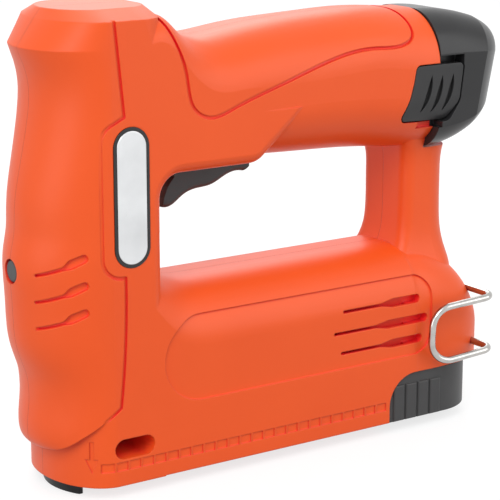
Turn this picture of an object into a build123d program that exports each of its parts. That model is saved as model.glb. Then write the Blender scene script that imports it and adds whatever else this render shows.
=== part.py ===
from build123d import *
from math import acos, cos, degrees, pi, radians, sin, sqrt, tan
import os

# Cordless stapler. Millimetres. The origin is the driver's exit in the nose face, on the parting plane.
# +X runs back to the battery end, +Z up, +Y to the tool's right, where the case screws go in.

# Clearances
SEAT = 0.1              # between fixed pieces that sit on each other
RUNNING = 0.04          # radial, shaft in its bore
SLIDE = 0.3             # between moving pieces and what they pass

# Case shell
SIDE_Y = 27.5           # flat sides of the case
WALL = 2.5
BLEND = 0.05            # how far the lofts stand past the flat sides before these are trimmed
BOTTOM_Z = 2.4          # underside of the base
BOTTOM_EDGE_R = 1.0
BASE_TOP_Z = 73.2       # bottom of the hand window
BASE_EDGE_R = 22.0
COLUMN_SIDE_X = 10.0    # where the round front of the column meets the flat sides
COLUMN_REAR_X = 30.0    # front of the hand window
COLUMN_EDGE_R = 5.0
# Height and front of the column
COLUMN_FRONT = [(14, -8.6), (15.4, -12), (18, -13.9), (22, -14.5), (30, -13.8), (38, -13.5), (44, -14.4),
                (49, -16.2), (55, -18), (64, -19), (76, -19.5), (92, -18.9), (108, -17.1), (122, -14.6),
                (134, -12), (148, -10), (158, -11.4), (166, -14.5)]
HEAD_SHOULDER = (176.0, -7.2, 33.0)                 # height, front, rear
HEAD_TOP = (179.6, -4.2, 32.0)
HEAD_TOP_HALF = 18.0
HEAD_CORNER_R = 11.0    # rear corners of the top
SKIRT_LINE = [(-15, 14), (-9, 17.6), (-3.5, 22.5), (2.8, 27.2), (10.5, 33.1)]
NOSE_FRONT_X = -8.5
NOSE_TOP_Z = 36.0
NOSE_WALL = 2.0

# Handle sections: x, underside, top, half width, lower and upper corner radius
HANDLE_END_X = 160.0
HANDLE_END_Z = (113.2, 169.3)
HANDLE_END_HALF = 26.5
HANDLE_END_R = 22.0
HOOD_Z = 118.0          # flat underside over the trigger
HOOD_END_X = 73.0       # where the hood begins to run up into the handle
HOOD_SLOPE = 40.0       # degrees
HOOD_EDGE_R = 5.0
HOOD_CORNER_R = 9.0     # against the column
HANDLE = [(14, 119, 172, 27.55, 14, 7), (28, 119, 175.5, 27.55, 15, 9), (36, 119, 175.2, 27.55, 16, 12.5),
          (42, 119, 170.6, 27.55, 17, 15.5), (48, 119, 167, 27.55, 18, 18), (55, 118.9, 165.6, 27.55, 19, 20),
          (70, 118.5, 166.9, 27.55, 20, 21), (90, 117.4, 169.2, 27.1, 21, 22),
          (115, 116.2, 170.4, 26.5, 22, 22), (140, 114.4, 170.5, 26.5, 22, 22)]

# Base heel against the column, tail behind the strut, and the strut
HEEL = [(22, 92), (26, 88), (30, 83.2), (34, 79.2), (38, 76.4), (43, 74.3), (48, 73.4)]     # x and top
HEEL_END_X = 58.0
TAIL_X = 150.0
# Tail: x, underside, top, half width, lower and upper corner radius
TAIL = [(157, BOTTOM_Z, 72.2, 27.5, 1, 22), (164, BOTTOM_Z, 70.2, 27.2, 1, 21),
        (171, BOTTOM_Z, 67, 26.6, 1, 20), (178, 2.7, 62, 25.3, 1.4, 18), (183, 3.4, 56.6, 23.2, 2, 15.6),
        (187.5, 5, 50, 20, 2.4, 13), (190.8, 9, 43, 15, 3, 10), (192.4, 14, 38, 9.5, 3, 7)]
# Strut: height, front, rear, half width
STRUT = [(54, 138, 181, 20), (62, 143.5, 179.6, 18.6), (68, 147.4, 178.4, 17.2), (73, 150.2, 177.4, 16),
         (78, 151.8, 176.8, 15.3), (84, 152.5, 176.5, 15), (100, 152.7, 176.3, 15), (108, 152.6, 176.4, 15.3),
         (113, 151.8, 176.8, 16.2), (120, 149, 177.4, 18)]
SOLID_TAIL_X = 172.0     # the tail is solid behind this, for the hook
TAIL_ROOM_Z = 55.0
STRUT_FRONT_R = 5.0
STRUT_REAR_R = 11.0

# Grooves and marks on the case
GROOVE_WIDTH = 1.3
GROOVE_DEPTH = 1.0
COLUMN_GROOVE = [[(9.6, 181), (13.6, 141.7)], [(13.6, 141.7), (4.1, 137.2), (4.1, 83.2), (13.3, 82.3)],
                 [(13.3, 82.3), (12.9, 60), (10.5, 33.1)], [(10.5, 33.1), (2.8, 27.2), (-3.5, 22.5)]]
COLUMN_GROOVE_R = 7.5
GRIP_GROOVE = [(31, 176), (36.3, 165.9), (40.3, 154), (43.9, 141.3), (50, 138), (60.4, 140.3), (84, 147.9),
               (106, 154.2), (128, 157.2), (143, 157.4), (149, 160.5), (150, 165), (146, 172)]
PANEL_X = (29.8, 158.0)
PANEL_Z = (30.0, 63.0)
PANEL_DEPTH = 0.8
PANEL_REAR_R = 9.0
VENTS = [(113, 138, 152, 53.4), (108.6, 135.5, 156, 44.8), (112, 138, 153.5, 36.4)]   # tail, step, end, height
VENT_TAIL = 1.3
BAFFLE_Y = (21.0, 22.6)  # wall behind the vents
VENT_HEIGHT = 3.6
GILLS_Z = (64.0, 74.2, 84.4)
GILL_DEPTH = 1.5
RULER_X = (2.7, 135.5)
RULER_Z = (8.4, 11.8)
RULER_CELLS = 24
RULER_DEPTH = 0.5
RULER_WEB = 0.7
SIGHT_X = (7.7, 24.8)   # staple sight window
SIGHT_Z = (12.8, 20.6)
SIGHT_WALL = 1.4
ARROW_Z = (8.2, 13.6, 20.5)                          # tip, shoulder and end of the driver mark
MARK_DEPTH = 0.4

# Badge
BADGE_MID = (16.35, 111.9)
BADGE_WIDTH = 12.2
BADGE_LENGTH = 49.4
BADGE_RIM = 1.3
BADGE_SUNK = 0.8
BADGE_PROUD = 0.5

# Drive line
DRIVE_Z = 50.0
SHAFT_R = 4.0
MODULE = 0.6            # planetary stages
SUN_TEETH = 12
PLANET_TEETH = 15
RING_TEETH = SUN_TEETH + 2 * PLANET_TEETH
PLANETS = 3
GEAR_WIDTH = 6.0
PLATE = 3.4             # planet carrier plate
PIN_R = 1.5
GEARBOX_X = (60.0, 83.0)
GEARBOX_R = 17.0
GEARBOX_COVER = 3.0
LIFT_MODULE = 1.0
LIFT_TEETH = 18
LIFT_X = (7.0, 13.0)
LIFT_STROKE = 22.0
RACK_BACK = 4.2
RACK_Z = (27.4, 56.0)
BUSH_X = (18.0, 24.0)
BUSH_R = 7.0
SHAFT_FRONT_X = 5.2
MOTOR_R = 15.0
MOTOR_WALL = 1.6
MOTOR_LENGTH = 48.0
MOTOR_CAP = 5.5
MOTOR_SHAFT_R = 1.5
ARMATURE_R = 10.6
BACKLASH = 0.16

# Driver and hammer
DRIVER_THICK = 1.1
DRIVER_WIDTH = 10.6
DRIVER_TIP_Z = 0.6
HAMMER_X = 4.0
HAMMER_HALF = 13.0
HAMMER_Z = (35.0, 58.0)
DRIVER_SOCKET = 11.0
ROD_R = 2.5
ROD_Y = 8.5
NOSE_BLOCK_X = (-2.4, 4.1)
NOSE_BLOCK_HALF = 8.8
FLANGE_FRONT_X = -3.4
FLANGE_HALF = 14.0
FLANGE_Z = (22.0, 30.0)
SPRING_PLATE_Z = 150.0
SPRING_PLATE = 3.0
HAMMER_WIRE = 2.0
HAMMER_SPRING_R = 4.2   # middle of the wire
HAMMER_TURNS = 12

# Safety yoke at the nose
YOKE_TIP_Z = -2.5
YOKE_TOP_Z = 13.0
YOKE_FRONT_X = -5.0
YOKE_R = 27.0
YOKE_THICK = 2.2
YOKE_HALF = 14.4
YOKE_SPRING_Y = 11.6

# Magazine
CHANNEL_HALF = 8.2
CHANNEL_WALL = 1.4
CHANNEL_TOP_Z = 24.2
CHANNEL_BOTTOM_Z = 4.2
GRIP_FRONT_X = 137.0
GRIP_REAR_X = 187.5
GRIP_TOP_Z = 22.0
GRIP_HALF = 26.5
GRIP_FRONT_R = 13.0
GRIP_PLAN_R = 21.0
GRIP_RIBS = 4
GRIP_RIB_X = 139.2
GRIP_RIB_PITCH = 6.3
GRIP_RIB_WIDTH = 5.5
GRIP_RIB_TOP_Z = 17.8
GRIP_RIB_PROUD = 0.8
RAIL_HALF = 4.2
RAIL_TOP_Z = 17.0
RAIL_WALL = 1.2
PUSHER_LENGTH = 17.0
FEED_ROD_R = 1.0
FEED_Z = 19.6              # middle of the feed rod
FEED_SPRING_R = 1.75
FEED_WIRE = 0.6
FEED_TURNS = 18

# Trigger
TRIGGER_HALF = 8.6
TRIGGER_PIVOT = (76.5, 122.0)
TRIGGER_HUB_R = 4.0
TRIGGER_PIN_R = 1.6
TRIGGER_UNDER = [(41, 101.6), (44.6, 101.2), (51, 105), (57, 106.8), (63.6, 107.5), (70, 110.3),
                 (78.4, 111.3)]
TRIGGER_SLOT_X = (39.3, 81.2)
TRIGGER_BOSS_HALF = 13.5
TRIGGER_TOP_Z = 120.0
TRIGGER_SPRING_X = 62.0

# Battery pack
BAY_X = 91.0
BAY_HALF = 23.0
BAY_Z = (119.3, 165.0)
BAY_R = 14.0
CASE_WALL = 1.6
CELL_R = 9.2
CELL_LENGTH = 65.0
BATTERY_REAR_X = 200.6
CAP_X = HANDLE_END_X + SLIDE
CAP_CREASE_X = 183.2    # where the flanks turn into the round rear
# Cap: x at mid height, underside, top, half width, heights of the lower and upper crease,
# half width of the flat below and on top, lean in degrees
CAP = [(CAP_X, 113.4, 169.1, 26.3, 123, 152.4, 10, 9, 0), (171, 114.2, 168.4, 26.3, 123.6, 152.4, 10, 9, 4),
       (CAP_CREASE_X, 117.4, 165.4, 26, 126, 152, 10, 9.5, 11),
       (189.2, 120.6, 162.8, 22.6, 128, 151.4, 9.5, 9, 11),
       (194.6, 124.6, 159.4, 17.8, 131, 150.4, 8, 8, 12), (198.8, 130, 154.4, 11.6, 135, 149, 5, 5, 12),
       (BATTERY_REAR_X, 136, 149.4, 5.6, 138.5, 147, 2.5, 2.5, 12)]
CAP_BOW = 0.17          # rise of the bowed faces over their width
CAP_WALL = 2.6
CLIP_LENGTH = 3.6
LATCH = [(148.6, 148.4), (147.4, 142), (145.6, 135.8), (141.4, 126.6), (165, 125.8), (170.6, 133.2),
         (172.6, 148.4)]
LATCH_THICK = 3.4
LATCH_TRAVEL = 2.0
LATCH_SLOTS = [(150.9, 129.6), (156.3, 129.2), (161.9, 129.4)]     # lower end of each finger slot
LATCH_SLOT_RISE = (5.4, 15.0)
LATCH_GAP_Z = (122.9, 151.8)                        # dark gaps below and above the latch
BLADES_Y = (-8.0, 0.0, 8.0)
BLADE_Z = (134.0, 150.0)
BLADE_THICK = 1.0

# Switch, terminals and board
SWITCH_HALF = 8.0
SWITCH_Z = (127.0, 141.0)
SWITCH_X = (47.0, 69.0)
TERMINAL_X = (84.0, 90.6)
TERMINAL_HALF = 14.0
BOARD_Z = 152.0
BOARD_HALF = 18.0
BOARD_X = (46.0, 82.0)

# Front button, belt hook and case screws
BUTTON_Z = 83.8
BUTTON_R = 4.35
BUTTON_FACE_X = -19.1
BUTTON_FLANGE_X = -16.3
BUTTON_BACK_X = -8.3
HOOK_WIRE_R = 1.45
HOOK_LEGS_X = 183.4
HOOK_REAR_Y = -36.5
HOOK_FRONT_Y = -31.5
HOOK_DEPTH_Y = -6.0
HOOK_UPPER_Z = 51.7
HOOK_LOWER_Z = 29.2
HOOK_BENDS = (4.0, 9.0, 8.5, 4.0)
SCREWS = [(22, 166), (22, 120), (22, 78), (38, 132), (42, 34), (118, 30), (176, 40), (168, 92)]
SCREW_R = 1.5
SCREW_HEAD_R = 2.9
SCREW_HEAD = 2.2
SCREW_REACH = 14.0      # shank past the parting plane
STRUT_SCREW_REACH = 9.0
SCREW_SEAT = 20.0       # underside of the head
STRUT_SCREW_SEAT = 8.0
BOSS_R = 4.2


# Building blocks

def block(x, y, z):
    """Box between the given limits."""
    size = [limits[1] - limits[0] for limits in (x, y, z)]
    return Pos(*[(limits[0] + limits[1]) / 2 for limits in (x, y, z)]) * Box(*size)


def rod_x(x0, x1, radius, y=0, z=DRIVE_Z):
    """Round bar along X."""
    return Pos((x0 + x1) / 2, y, z) * Rot(0, 90, 0) * Cylinder(radius, x1 - x0)


def rod_y(y0, y1, radius, x, z):
    """Round bar along Y."""
    return Pos(x, (y0 + y1) / 2, z) * Rot(90, 0, 0) * Cylinder(radius, y1 - y0)


def rod_z(z0, z1, radius, x, y):
    """Round bar along Z."""
    return Pos(x, y, (z0 + z1) / 2) * Cylinder(radius, z1 - z0)


def side_prism(face, y0, y1):
    """Face drawn in side view, x across and z up, given thickness from y0 to y1."""
    return extrude(Plane.XZ.offset(-y1) * face, amount=y1 - y0)


def both_sides(left):
    """A piece on the left and its mirror image on the right."""
    return left + mirror(left, Plane.XZ)


def stadium(x0, x1, z0, z1):
    """Side-view slot with round ends."""
    width, height = x1 - x0, z1 - z0
    radius = min(width, height) / 2 - 0.001
    return Pos((x0 + x1) / 2, (z0 + z1) / 2) * RectangleRounded(width, height, radius)


def ribbon(points, width):
    """Side-view strip that follows a smooth line."""
    return trace(Spline(*points), width)


def column_section(z, front, half, rear, corner):
    """Level section of the column: elliptic front, flat sides, rounded rear corners."""
    reach = COLUMN_SIDE_X - front
    arcs = [EllipticalCenterArc((COLUMN_SIDE_X, 0), reach, half, turn, arc_size=90) for turn in (90, 180)]
    corners = [(COLUMN_SIDE_X, -half), (rear, -half), (rear, half), (COLUMN_SIDE_X, half)]
    return Plane.XY.offset(z) * make_face([*arcs, FilletPolyline(*corners, radius=corner)])


def tube_section(x, z0, z1, half, lower_r, upper_r):
    """Upright section across the tool: a rectangle with round corners."""
    corners = [(0, z0), (half, z0), (half, z1), (-half, z1), (-half, z0)]
    line = FilletPolyline(*corners, radius=[0, lower_r, upper_r, upper_r, lower_r], close=True)
    return Plane((x, 0, 0), x_dir=(0, 1, 0), z_dir=(1, 0, 0)) * make_face(line)


def tube(x0, x1, z0, z1, half, lower_r, upper_r):
    """Straight tube of one section."""
    return extrude(tube_section(x0, z0, z1, half, lower_r, upper_r), amount=x1 - x0, dir=(1, 0, 0))


def post_section(z, front, rear, half):
    """Level section of the strut."""
    corners = [(rear, 0), (rear, half), (front, half), (front, -half), (rear, -half)]
    radii = [0, STRUT_REAR_R, STRUT_FRONT_R, STRUT_FRONT_R, STRUT_REAR_R]
    return Plane.XY.offset(z) * make_face(FilletPolyline(*corners, radius=radii, close=True))


def gear_face(teeth, module, addendum, dedendum, slack, keep=None):
    """Spur gear outline with a tooth on the local x axis. keep limits the toothed arc, in degrees."""
    pitch_r = teeth * module / 2
    base_r = pitch_r * cos(radians(20))

    def half_angle(radius):
        pressure = acos(min(1, base_r / radius))
        roll = tan(pressure) - pressure - tan(radians(20)) + radians(20)
        return (pi * module / 2 - slack) / (2 * pitch_r) - roll

    points = []
    radii = [pitch_r - dedendum, pitch_r, pitch_r + addendum]
    for tooth in range(teeth):
        middle = tooth * 2 * pi / teeth
        turn = (degrees(middle) + 180) % 360 - 180
        if keep and not keep[0] <= turn <= keep[1]:
            points.append((radii[0] * cos(middle), radii[0] * sin(middle)))
            continue
        for side, order in ((-1, radii), (1, radii[::-1])):
            for radius in order:
                angle = middle + side * half_angle(radius)
                points.append((radius * cos(angle), radius * sin(angle)))
    return make_face(Polyline(*points, close=True))


def gear(face, x0, width, y=0, z=DRIVE_Z, turn=0):
    """Gear with its axis along X. The face's local x axis points along +Y before it is turned."""
    seat = Plane((x0, y, z), x_dir=(0, 1, 0), z_dir=(1, 0, 0))
    return extrude(seat * (Rot(0, 0, turn) * face), amount=width, dir=(1, 0, 0))


def coil(start, axis, length, radius, wire, turns):
    """Helical spring of one unbroken wire, its path made of tangent arcs, four pairs to a turn."""
    frame = Plane(start, z_dir=axis)
    pitch = length / turns
    slope = Vector(0, 2 * pi * radius, pitch).normalized()

    def spot(turn):
        angle = 2 * pi * turn
        place = Vector(radius * cos(angle), radius * sin(angle), pitch * turn)
        heading = Vector(-sin(angle) * slope.Y, cos(angle) * slope.Y, slope.Z)
        return place, heading

    arcs = []
    for step in range(4 * turns):
        p0, t0 = spot(step / 4)
        p1, t1 = spot((step + 1) / 4)
        chord, both = p1 - p0, t0 + t1
        bend = 2 * (1 - t0.dot(t1))
        lean = chord.dot(both)
        reach = (sqrt(lean * lean + bend * chord.dot(chord)) - lean) / bend
        middle = (p0 + t0 * reach + p1 - t1 * reach) * 0.5
        heading = (p1 - t1 * reach - middle).normalized()
        arcs.append(TangentArc(p0, middle, tangent=t0))
        arcs.append(TangentArc(middle, p1, tangent=heading))
    path = Wire(arcs)
    section = Plane(path @ 0, z_dir=path % 0) * Circle(wire / 2)
    return frame.location * sweep(section, path=path)


def save(name, shape):
    """One file for each piece."""
    export_step(shape, f"parts/{name}.step")


# Case: outer form

def handle_form(inset=0):
    """Handle, wide where it grows out of the column and round at the battery."""
    end = (HANDLE_END_X, *HANDLE_END_Z, HANDLE_END_HALF, HANDLE_END_R, HANDLE_END_R)
    sections = []
    for x, z0, z1, half, lower_r, upper_r in [*HANDLE, end]:
        half = min(half, SIDE_Y + BLEND)
        sections.append(tube_section(x, z0 + inset, z1 - inset, half - inset, lower_r, upper_r))
    return loft(sections)


def column_form(inset=0):
    """Column from the skirt to the brow."""
    half = SIDE_Y + BLEND - inset
    rear = COLUMN_REAR_X - inset
    return loft([column_section(z, x + inset, half, rear, COLUMN_EDGE_R) for z, x in COLUMN_FRONT])


def head_form(inset=0):
    """Head above the brow, with a bevelled top."""
    half = SIDE_Y + BLEND - inset
    brow_z, brow_x = COLUMN_FRONT[-1]
    levels = [(brow_z, brow_x, half, COLUMN_REAR_X, COLUMN_EDGE_R),
              (HEAD_SHOULDER[0] - inset, HEAD_SHOULDER[1], half, HEAD_SHOULDER[2], HEAD_CORNER_R),
              (HEAD_TOP[0] - inset, HEAD_TOP[1], HEAD_TOP_HALF, HEAD_TOP[2], HEAD_CORNER_R)]
    sections = [column_section(z, x + inset, w, rear - inset, corner) for z, x, w, rear, corner in levels]
    return loft(sections, ruled=True)


def hood_form():
    """Flat-bottomed hood over the trigger, rounded into the column and running up into the handle behind."""
    rear = COLUMN_REAR_X + BLEND / 2
    low = HOOD_Z - HOOD_CORNER_R - 12
    rise = 20
    ramp = (HOOD_END_X + rise / tan(radians(HOOD_SLOPE)), HOOD_Z + rise)
    corners = [(rear, low), (rear, HOOD_Z), (HOOD_END_X, HOOD_Z), ramp]
    under = FilletPolyline(*corners, radius=HOOD_CORNER_R)
    closing = Polyline(ramp, (rear - 8, ramp[1]), (rear - 8, low), (rear, low))
    half = SIDE_Y + 1.5 * BLEND
    body = side_prism(make_face([*under.edges(), *closing.edges()]), -half, half)
    edges = [edge for edge in body.edges() if abs(abs(edge.center().Y) - half) < 0.01
             and edge.center().X > rear - 1 and edge.center().Z < ramp[1] - 1]
    return fillet(edges, HOOD_EDGE_R)


def base_form(inset=0):
    """Base: heel against the column, straight middle and rounded tail."""
    half = SIDE_Y + 3 * BLEND - inset
    edge_r = BASE_EDGE_R - inset
    heel = [tube_section(x, BOTTOM_Z, top - inset, half, BOTTOM_EDGE_R, edge_r) for x, top in HEEL]
    straight = (BOTTOM_Z, BASE_TOP_Z - inset, half, BOTTOM_EDGE_R, edge_r)
    heel += [tube_section(HEEL_END_X - 4, *straight), tube_section(HEEL_END_X, *straight)]
    form = loft(heel) + tube(HEEL_END_X, TAIL_X, *straight)
    tail = [tube_section(x, z0, z1 - inset, w - inset, low_r, top_r - inset)
            for x, z0, z1, w, low_r, top_r in TAIL]
    return form + loft([tube_section(TAIL_X, *straight), *tail])


def nose_form(inset=0):
    """Nose under the skirt, elliptic in plan."""
    section = column_section(BOTTOM_Z, NOSE_FRONT_X + inset, SIDE_Y + BLEND - inset, COLUMN_REAR_X, 1)
    return extrude(section, amount=NOSE_TOP_Z - BOTTOM_Z)


def outer_form():
    """Whole outside of the case, with its flat sides."""
    low = [(SKIRT_LINE[0][0] - 20, SKIRT_LINE[0][1]), *SKIRT_LINE]
    below = [*low, (low[-1][0], 0), (low[0][0], 0)]
    skirt = side_prism(make_face(Polyline(*below, close=True)), -2 * SIDE_Y, 2 * SIDE_Y)
    form = column_form() - skirt + head_form() + handle_form() + hood_form() + base_form()
    form += loft([post_section(*section) for section in STRUT])
    form += nose_form()
    grown = offset(cap_section(*CAP[0]), amount=2 * SLIDE)
    seat = extrude(grown, amount=BATTERY_REAR_X - CAP_X, dir=(1, 0, 0))
    above = block((CAP_X - SLIDE, BATTERY_REAR_X), (-2 * SIDE_Y, 2 * SIDE_Y), (CAP[0][4], HEAD_TOP[0]))
    slab = block((-60, 2 * BATTERY_REAR_X), (-SIDE_Y, SIDE_Y), (BOTTOM_Z, 2 * HEAD_TOP[0]))
    return (form - seat - above) & slab


# Case: hollow inside

TUNNEL_HALF = CHANNEL_HALF + SLIDE
TUNNEL_TOP_Z = CHANNEL_TOP_Z + SLIDE
FLOOR_Z = TUNNEL_TOP_Z + 1.6
INNER_Y = SIDE_Y - WALL


def hollow_form():
    """Spaces inside the case. Each is drawn a little too wide and all are trimmed to the same flat sides."""
    inside = [(z, x) for z, x in COLUMN_FRONT if z > NOSE_TOP_Z - 10]
    rear = COLUMN_REAR_X - WALL
    wide = INNER_Y + 0.3
    corner = COLUMN_EDGE_R - WALL
    sections = [column_section(z, x + WALL, wide, rear, corner) for z, x in inside]
    shoulder_z, shoulder_x, shoulder_rear = HEAD_SHOULDER
    top = (shoulder_z - 2 * WALL, shoulder_x + 2 * WALL, INNER_Y - 2 * WALL, shoulder_rear - 4 * WALL)
    hollow = loft([*sections, column_section(*top, corner)])
    nose = column_section(BOTTOM_Z + WALL, NOSE_FRONT_X + NOSE_WALL, SIDE_Y - NOSE_WALL, COLUMN_SIDE_X + 2, 0.5)
    hollow += extrude(nose, amount=NOSE_TOP_Z - BOTTOM_Z)
    hollow += tube(8, TAIL_X - 4, FLOOR_Z, BASE_TOP_Z - 3, wide + 0.3, 2, BASE_EDGE_R - 2)
    hollow += block((TAIL_X - 5, SOLID_TAIL_X), (-19, 19), (FLOOR_Z + 0.5, TAIL_ROOM_Z))
    outer_pocket = (TUNNEL_HALF + WALL, wide + 0.6)
    hollow += both_sides(block((COLUMN_SIDE_X - 0.5, 134), outer_pocket, (BOTTOM_Z + WALL, FLOOR_Z + 1)))
    hollow += block((NOSE_BLOCK_X[1] - 1, GRIP_FRONT_X + 14), (-TUNNEL_HALF, TUNNEL_HALF), (0, TUNNEL_TOP_Z))
    hollow += tube(COLUMN_REAR_X - 4, BAY_X + 0.5, BAY_Z[0] + 0.4, BAY_Z[1] - 5, INNER_Y - 1, 16, 13)
    hollow += tube(BAY_X, HANDLE_END_X + 20, *BAY_Z, BAY_HALF, BAY_R, BAY_R)
    hollow += block((156, 164), (-5, 5), (FLOOR_Z + 4, BAY_Z[0] + 1))
    return hollow & block((-60, 300), (-INNER_Y, INNER_Y), (-10, 2 * HEAD_TOP[0]))


def inner_ribs():
    """Webs and bosses that carry the inner pieces, as separate pieces that reach into the walls."""
    spring_web_z = SPRING_PLATE_Z + SPRING_PLATE + SEAT
    across = (-INNER_Y - 1, INNER_Y + 1)
    ribs = [block((-22, COLUMN_REAR_X + 1), across, (spring_web_z, spring_web_z + 3))]
    ribs.append(block((BUTTON_BACK_X, BUTTON_BACK_X + 2), across, (BUTTON_Z - 6, BUTTON_Z + 6)))
    for x0, x1, radius in ((*BUSH_X, BUSH_R), (68, 71, GEARBOX_R), (112, 115, MOTOR_R)):
        ribs.append(block((x0, x1), across, (FLOOR_Z - 1, BASE_TOP_Z)) - rod_x(x0, x1, radius + SEAT))
    holders = [block((-2, NOSE_BLOCK_X[1]), (FLANGE_HALF + SEAT, SIDE_Y - 1), FLANGE_Z)]
    holders.append(block((50, 66), (SWITCH_HALF + SEAT, INNER_Y + 1), (SWITCH_Z[0] + 2, SWITCH_Z[1] - 2)))
    holders.append(block(TERMINAL_X, (TERMINAL_HALF + SEAT, INNER_Y + 1), (BLADE_Z[0] - 4, BLADE_Z[1] + 4)))
    vent_x = (min(vent[0] for vent in VENTS) - 3, TAIL_X - 4)
    holders.append(block(vent_x, BAFFLE_Y, (FLOOR_Z, PANEL_Z[1])))
    holders.append(block((vent_x[0], vent_x[0] + 2), (BAFFLE_Y[0], INNER_Y + 1), (FLOOR_Z, PANEL_Z[1])))
    boss_z = (HOOD_Z - 1, TRIGGER_PIVOT[1] + 5)
    holders.append(block((72, 80.5), (TRIGGER_HALF + SLIDE, TRIGGER_BOSS_HALF), boss_z))
    sight = offset(stadium(*SIGHT_X, *SIGHT_Z), amount=SIGHT_WALL)
    holders.append(side_prism(sight, TUNNEL_HALF + 1, INNER_Y + 1))
    for x in (50, 76):
        holders.append(block((x, x + 2), (BOARD_HALF - 4, INNER_Y + 1), (BOARD_Z - 6, BOARD_Z - SEAT)))
    bosses = [rod_y(*across, BOSS_R, x, z) for x, z in SCREWS]
    return ribs + holders + [mirror(holder, Plane.XZ) for holder in holders] + bosses


# Case: openings and marks

def slot_outline(tail, step, end, z, thin, tall):
    """Cooling slot: a thin tail in front that widens to a full slot."""
    run = 6
    points = [(tail, z - thin / 2), (step - run, z - thin / 2), (step, z - tall / 2), (end, z - tall / 2),
              (end, z + tall / 2), (step, z + tall / 2), (step - run, z + thin / 2), (tail, z + thin / 2)]
    radii = [thin * 0.45, run, run / 2, tall * 0.45, tall * 0.45, run / 2, run, thin * 0.45]
    return make_face(FilletPolyline(*points, radius=radii, close=True))


def gill_outline(z):
    """Blind gill on the column: a thin tail in front that widens to a short slot, rising to the rear."""
    points = [(-16.3, -0.6), (-11.7, 1.3), (-8.6, 2.6), (-6.4, 2.9), (-0.6, 5.9), (-1.6, 8.9),
              (-7.2, 6.4), (-9, 3.9),
              (-12.1, 2.6), (-16.3, 0.6)]
    radii = [0.4, 8, 3, 2, 1.4, 1.4, 2, 1.5, 8, 0.4]
    return Pos(0, z) * make_face(FilletPolyline(*points, radius=radii, close=True))


def groove_outline():
    """Line on the column in side view: straight runs, rounded bends and sharp corners."""
    strips = []
    for run in COLUMN_GROOVE:
        if len(run) == 2:
            path = Line(*run)
        elif len(run) == 3:
            path = Spline(*run)
        else:
            path = FilletPolyline(*run, radius=COLUMN_GROOVE_R)
        strips.append(trace(path, GROOVE_WIDTH))
        strips.append(Pos(*run[-1]) * Circle(GROOVE_WIDTH / 2))
    return Sketch() + strips


def latch_gaps():
    """Openings beside the latch, above it behind the handle's end and below it, in side view."""
    upper = Pos(LATCH[-1][0] - 8, LATCH_GAP_Z[1] - 4) * Rectangle(16, 8)
    lower = Pos(156.5, LATCH_GAP_Z[0] + 2) * Rectangle(11, 4)
    return upper, lower


def latch_outline(gap):
    """Battery latch in side view, grown by a gap."""
    return offset(make_face(FilletPolyline(*LATCH, radius=[2, 6, 6, 2, 4, 6, 2], close=True)), amount=gap)


def side_cuts():
    """What is taken out of both halves, drawn for the left one."""
    outside = 2 * SIDE_Y
    cuts = [side_prism(groove_outline(), -outside, GROOVE_DEPTH - SIDE_Y)]
    grip_line = side_prism(ribbon(GRIP_GROOVE, GROOVE_WIDTH), -outside, 0)
    grip_line = grip_line - handle_form(GROOVE_DEPTH) - head_form(GROOVE_DEPTH)
    cuts.append(grip_line & block((0, HANDLE_END_X), (-outside, 0), (100, 200)))
    panel = stadium(*PANEL_X, *PANEL_Z)
    panel += Pos(PANEL_X[1] - 30, sum(PANEL_Z) / 2) * RectangleRounded(60, PANEL_Z[1] - PANEL_Z[0], PANEL_REAR_R)
    cuts.append(side_prism(panel, -outside, -SIDE_Y / 2) - base_form(PANEL_DEPTH))
    for tail, step, end, z in VENTS:
        vent = slot_outline(tail, step, end, z, VENT_TAIL, VENT_HEIGHT)
        cuts.append(side_prism(vent, -outside, -BAFFLE_Y[1]))
    core = column_form(GILL_DEPTH)
    for z in GILLS_Z:
        cuts.append(side_prism(gill_outline(z), -outside, -12) - core)
    pitch = (RULER_X[1] - RULER_X[0]) / RULER_CELLS
    for cell in range(RULER_CELLS):
        x0 = RULER_X[0] + cell * pitch
        cell_cut = block((x0, x0 + pitch - RULER_WEB), (-outside, -SIDE_Y / 2), RULER_Z)
        kept = block((COLUMN_SIDE_X, 200), (RULER_DEPTH - SIDE_Y, 0), RULER_Z)
        cuts.append(cell_cut - nose_form(RULER_DEPTH) - kept)
    cuts.append(side_prism(badge_outline(BADGE_RIM + SEAT), -outside, BADGE_SUNK - SIDE_Y))
    cuts.append(side_prism(latch_outline(2 * SLIDE), -outside, -LATCH_POCKET_Y))
    cuts.append(side_prism(latch_gaps()[1], -outside, -LATCH_POCKET_Y))
    cuts.append(side_prism(stadium(*SIGHT_X, *SIGHT_Z), -outside, 1))
    cuts.append(block(TRIGGER_SLOT_X, (-TRIGGER_HALF - SLIDE, 1), (HOOD_Z - 8, BAY_Z[0] + 4)))
    cuts.append(rod_y(1 - TRIGGER_BOSS_HALF, 1, TRIGGER_PIN_R + SEAT / 2, *TRIGGER_PIVOT))
    tip, shoulder, end = ARROW_Z
    arrow = make_face(Polyline((0, tip), (1.8, shoulder), (0.6, shoulder), (0.6, end), (-0.6, end),
                               (-0.6, shoulder),
                               (-1.8, shoulder), close=True))
    cuts.append(side_prism(arrow, -outside, -SIDE_Y / 2) - nose_form(MARK_DEPTH))
    cuts.append(rod_x(BUTTON_FACE_X - 5, -10, BUTTON_R + SLIDE, z=BUTTON_Z))
    yoke_hole = column_section(-1, NOSE_FRONT_X + NOSE_WALL, SIDE_Y - NOSE_WALL, COLUMN_SIDE_X + 2, 0.5)
    cuts.append(extrude(yoke_hole, amount=10) & block((-20, NOSE_BLOCK_X[1] + SEAT), (-15.2, 15.2), (-2, 9)))
    cuts.append(grip_space())
    return cuts


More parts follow.
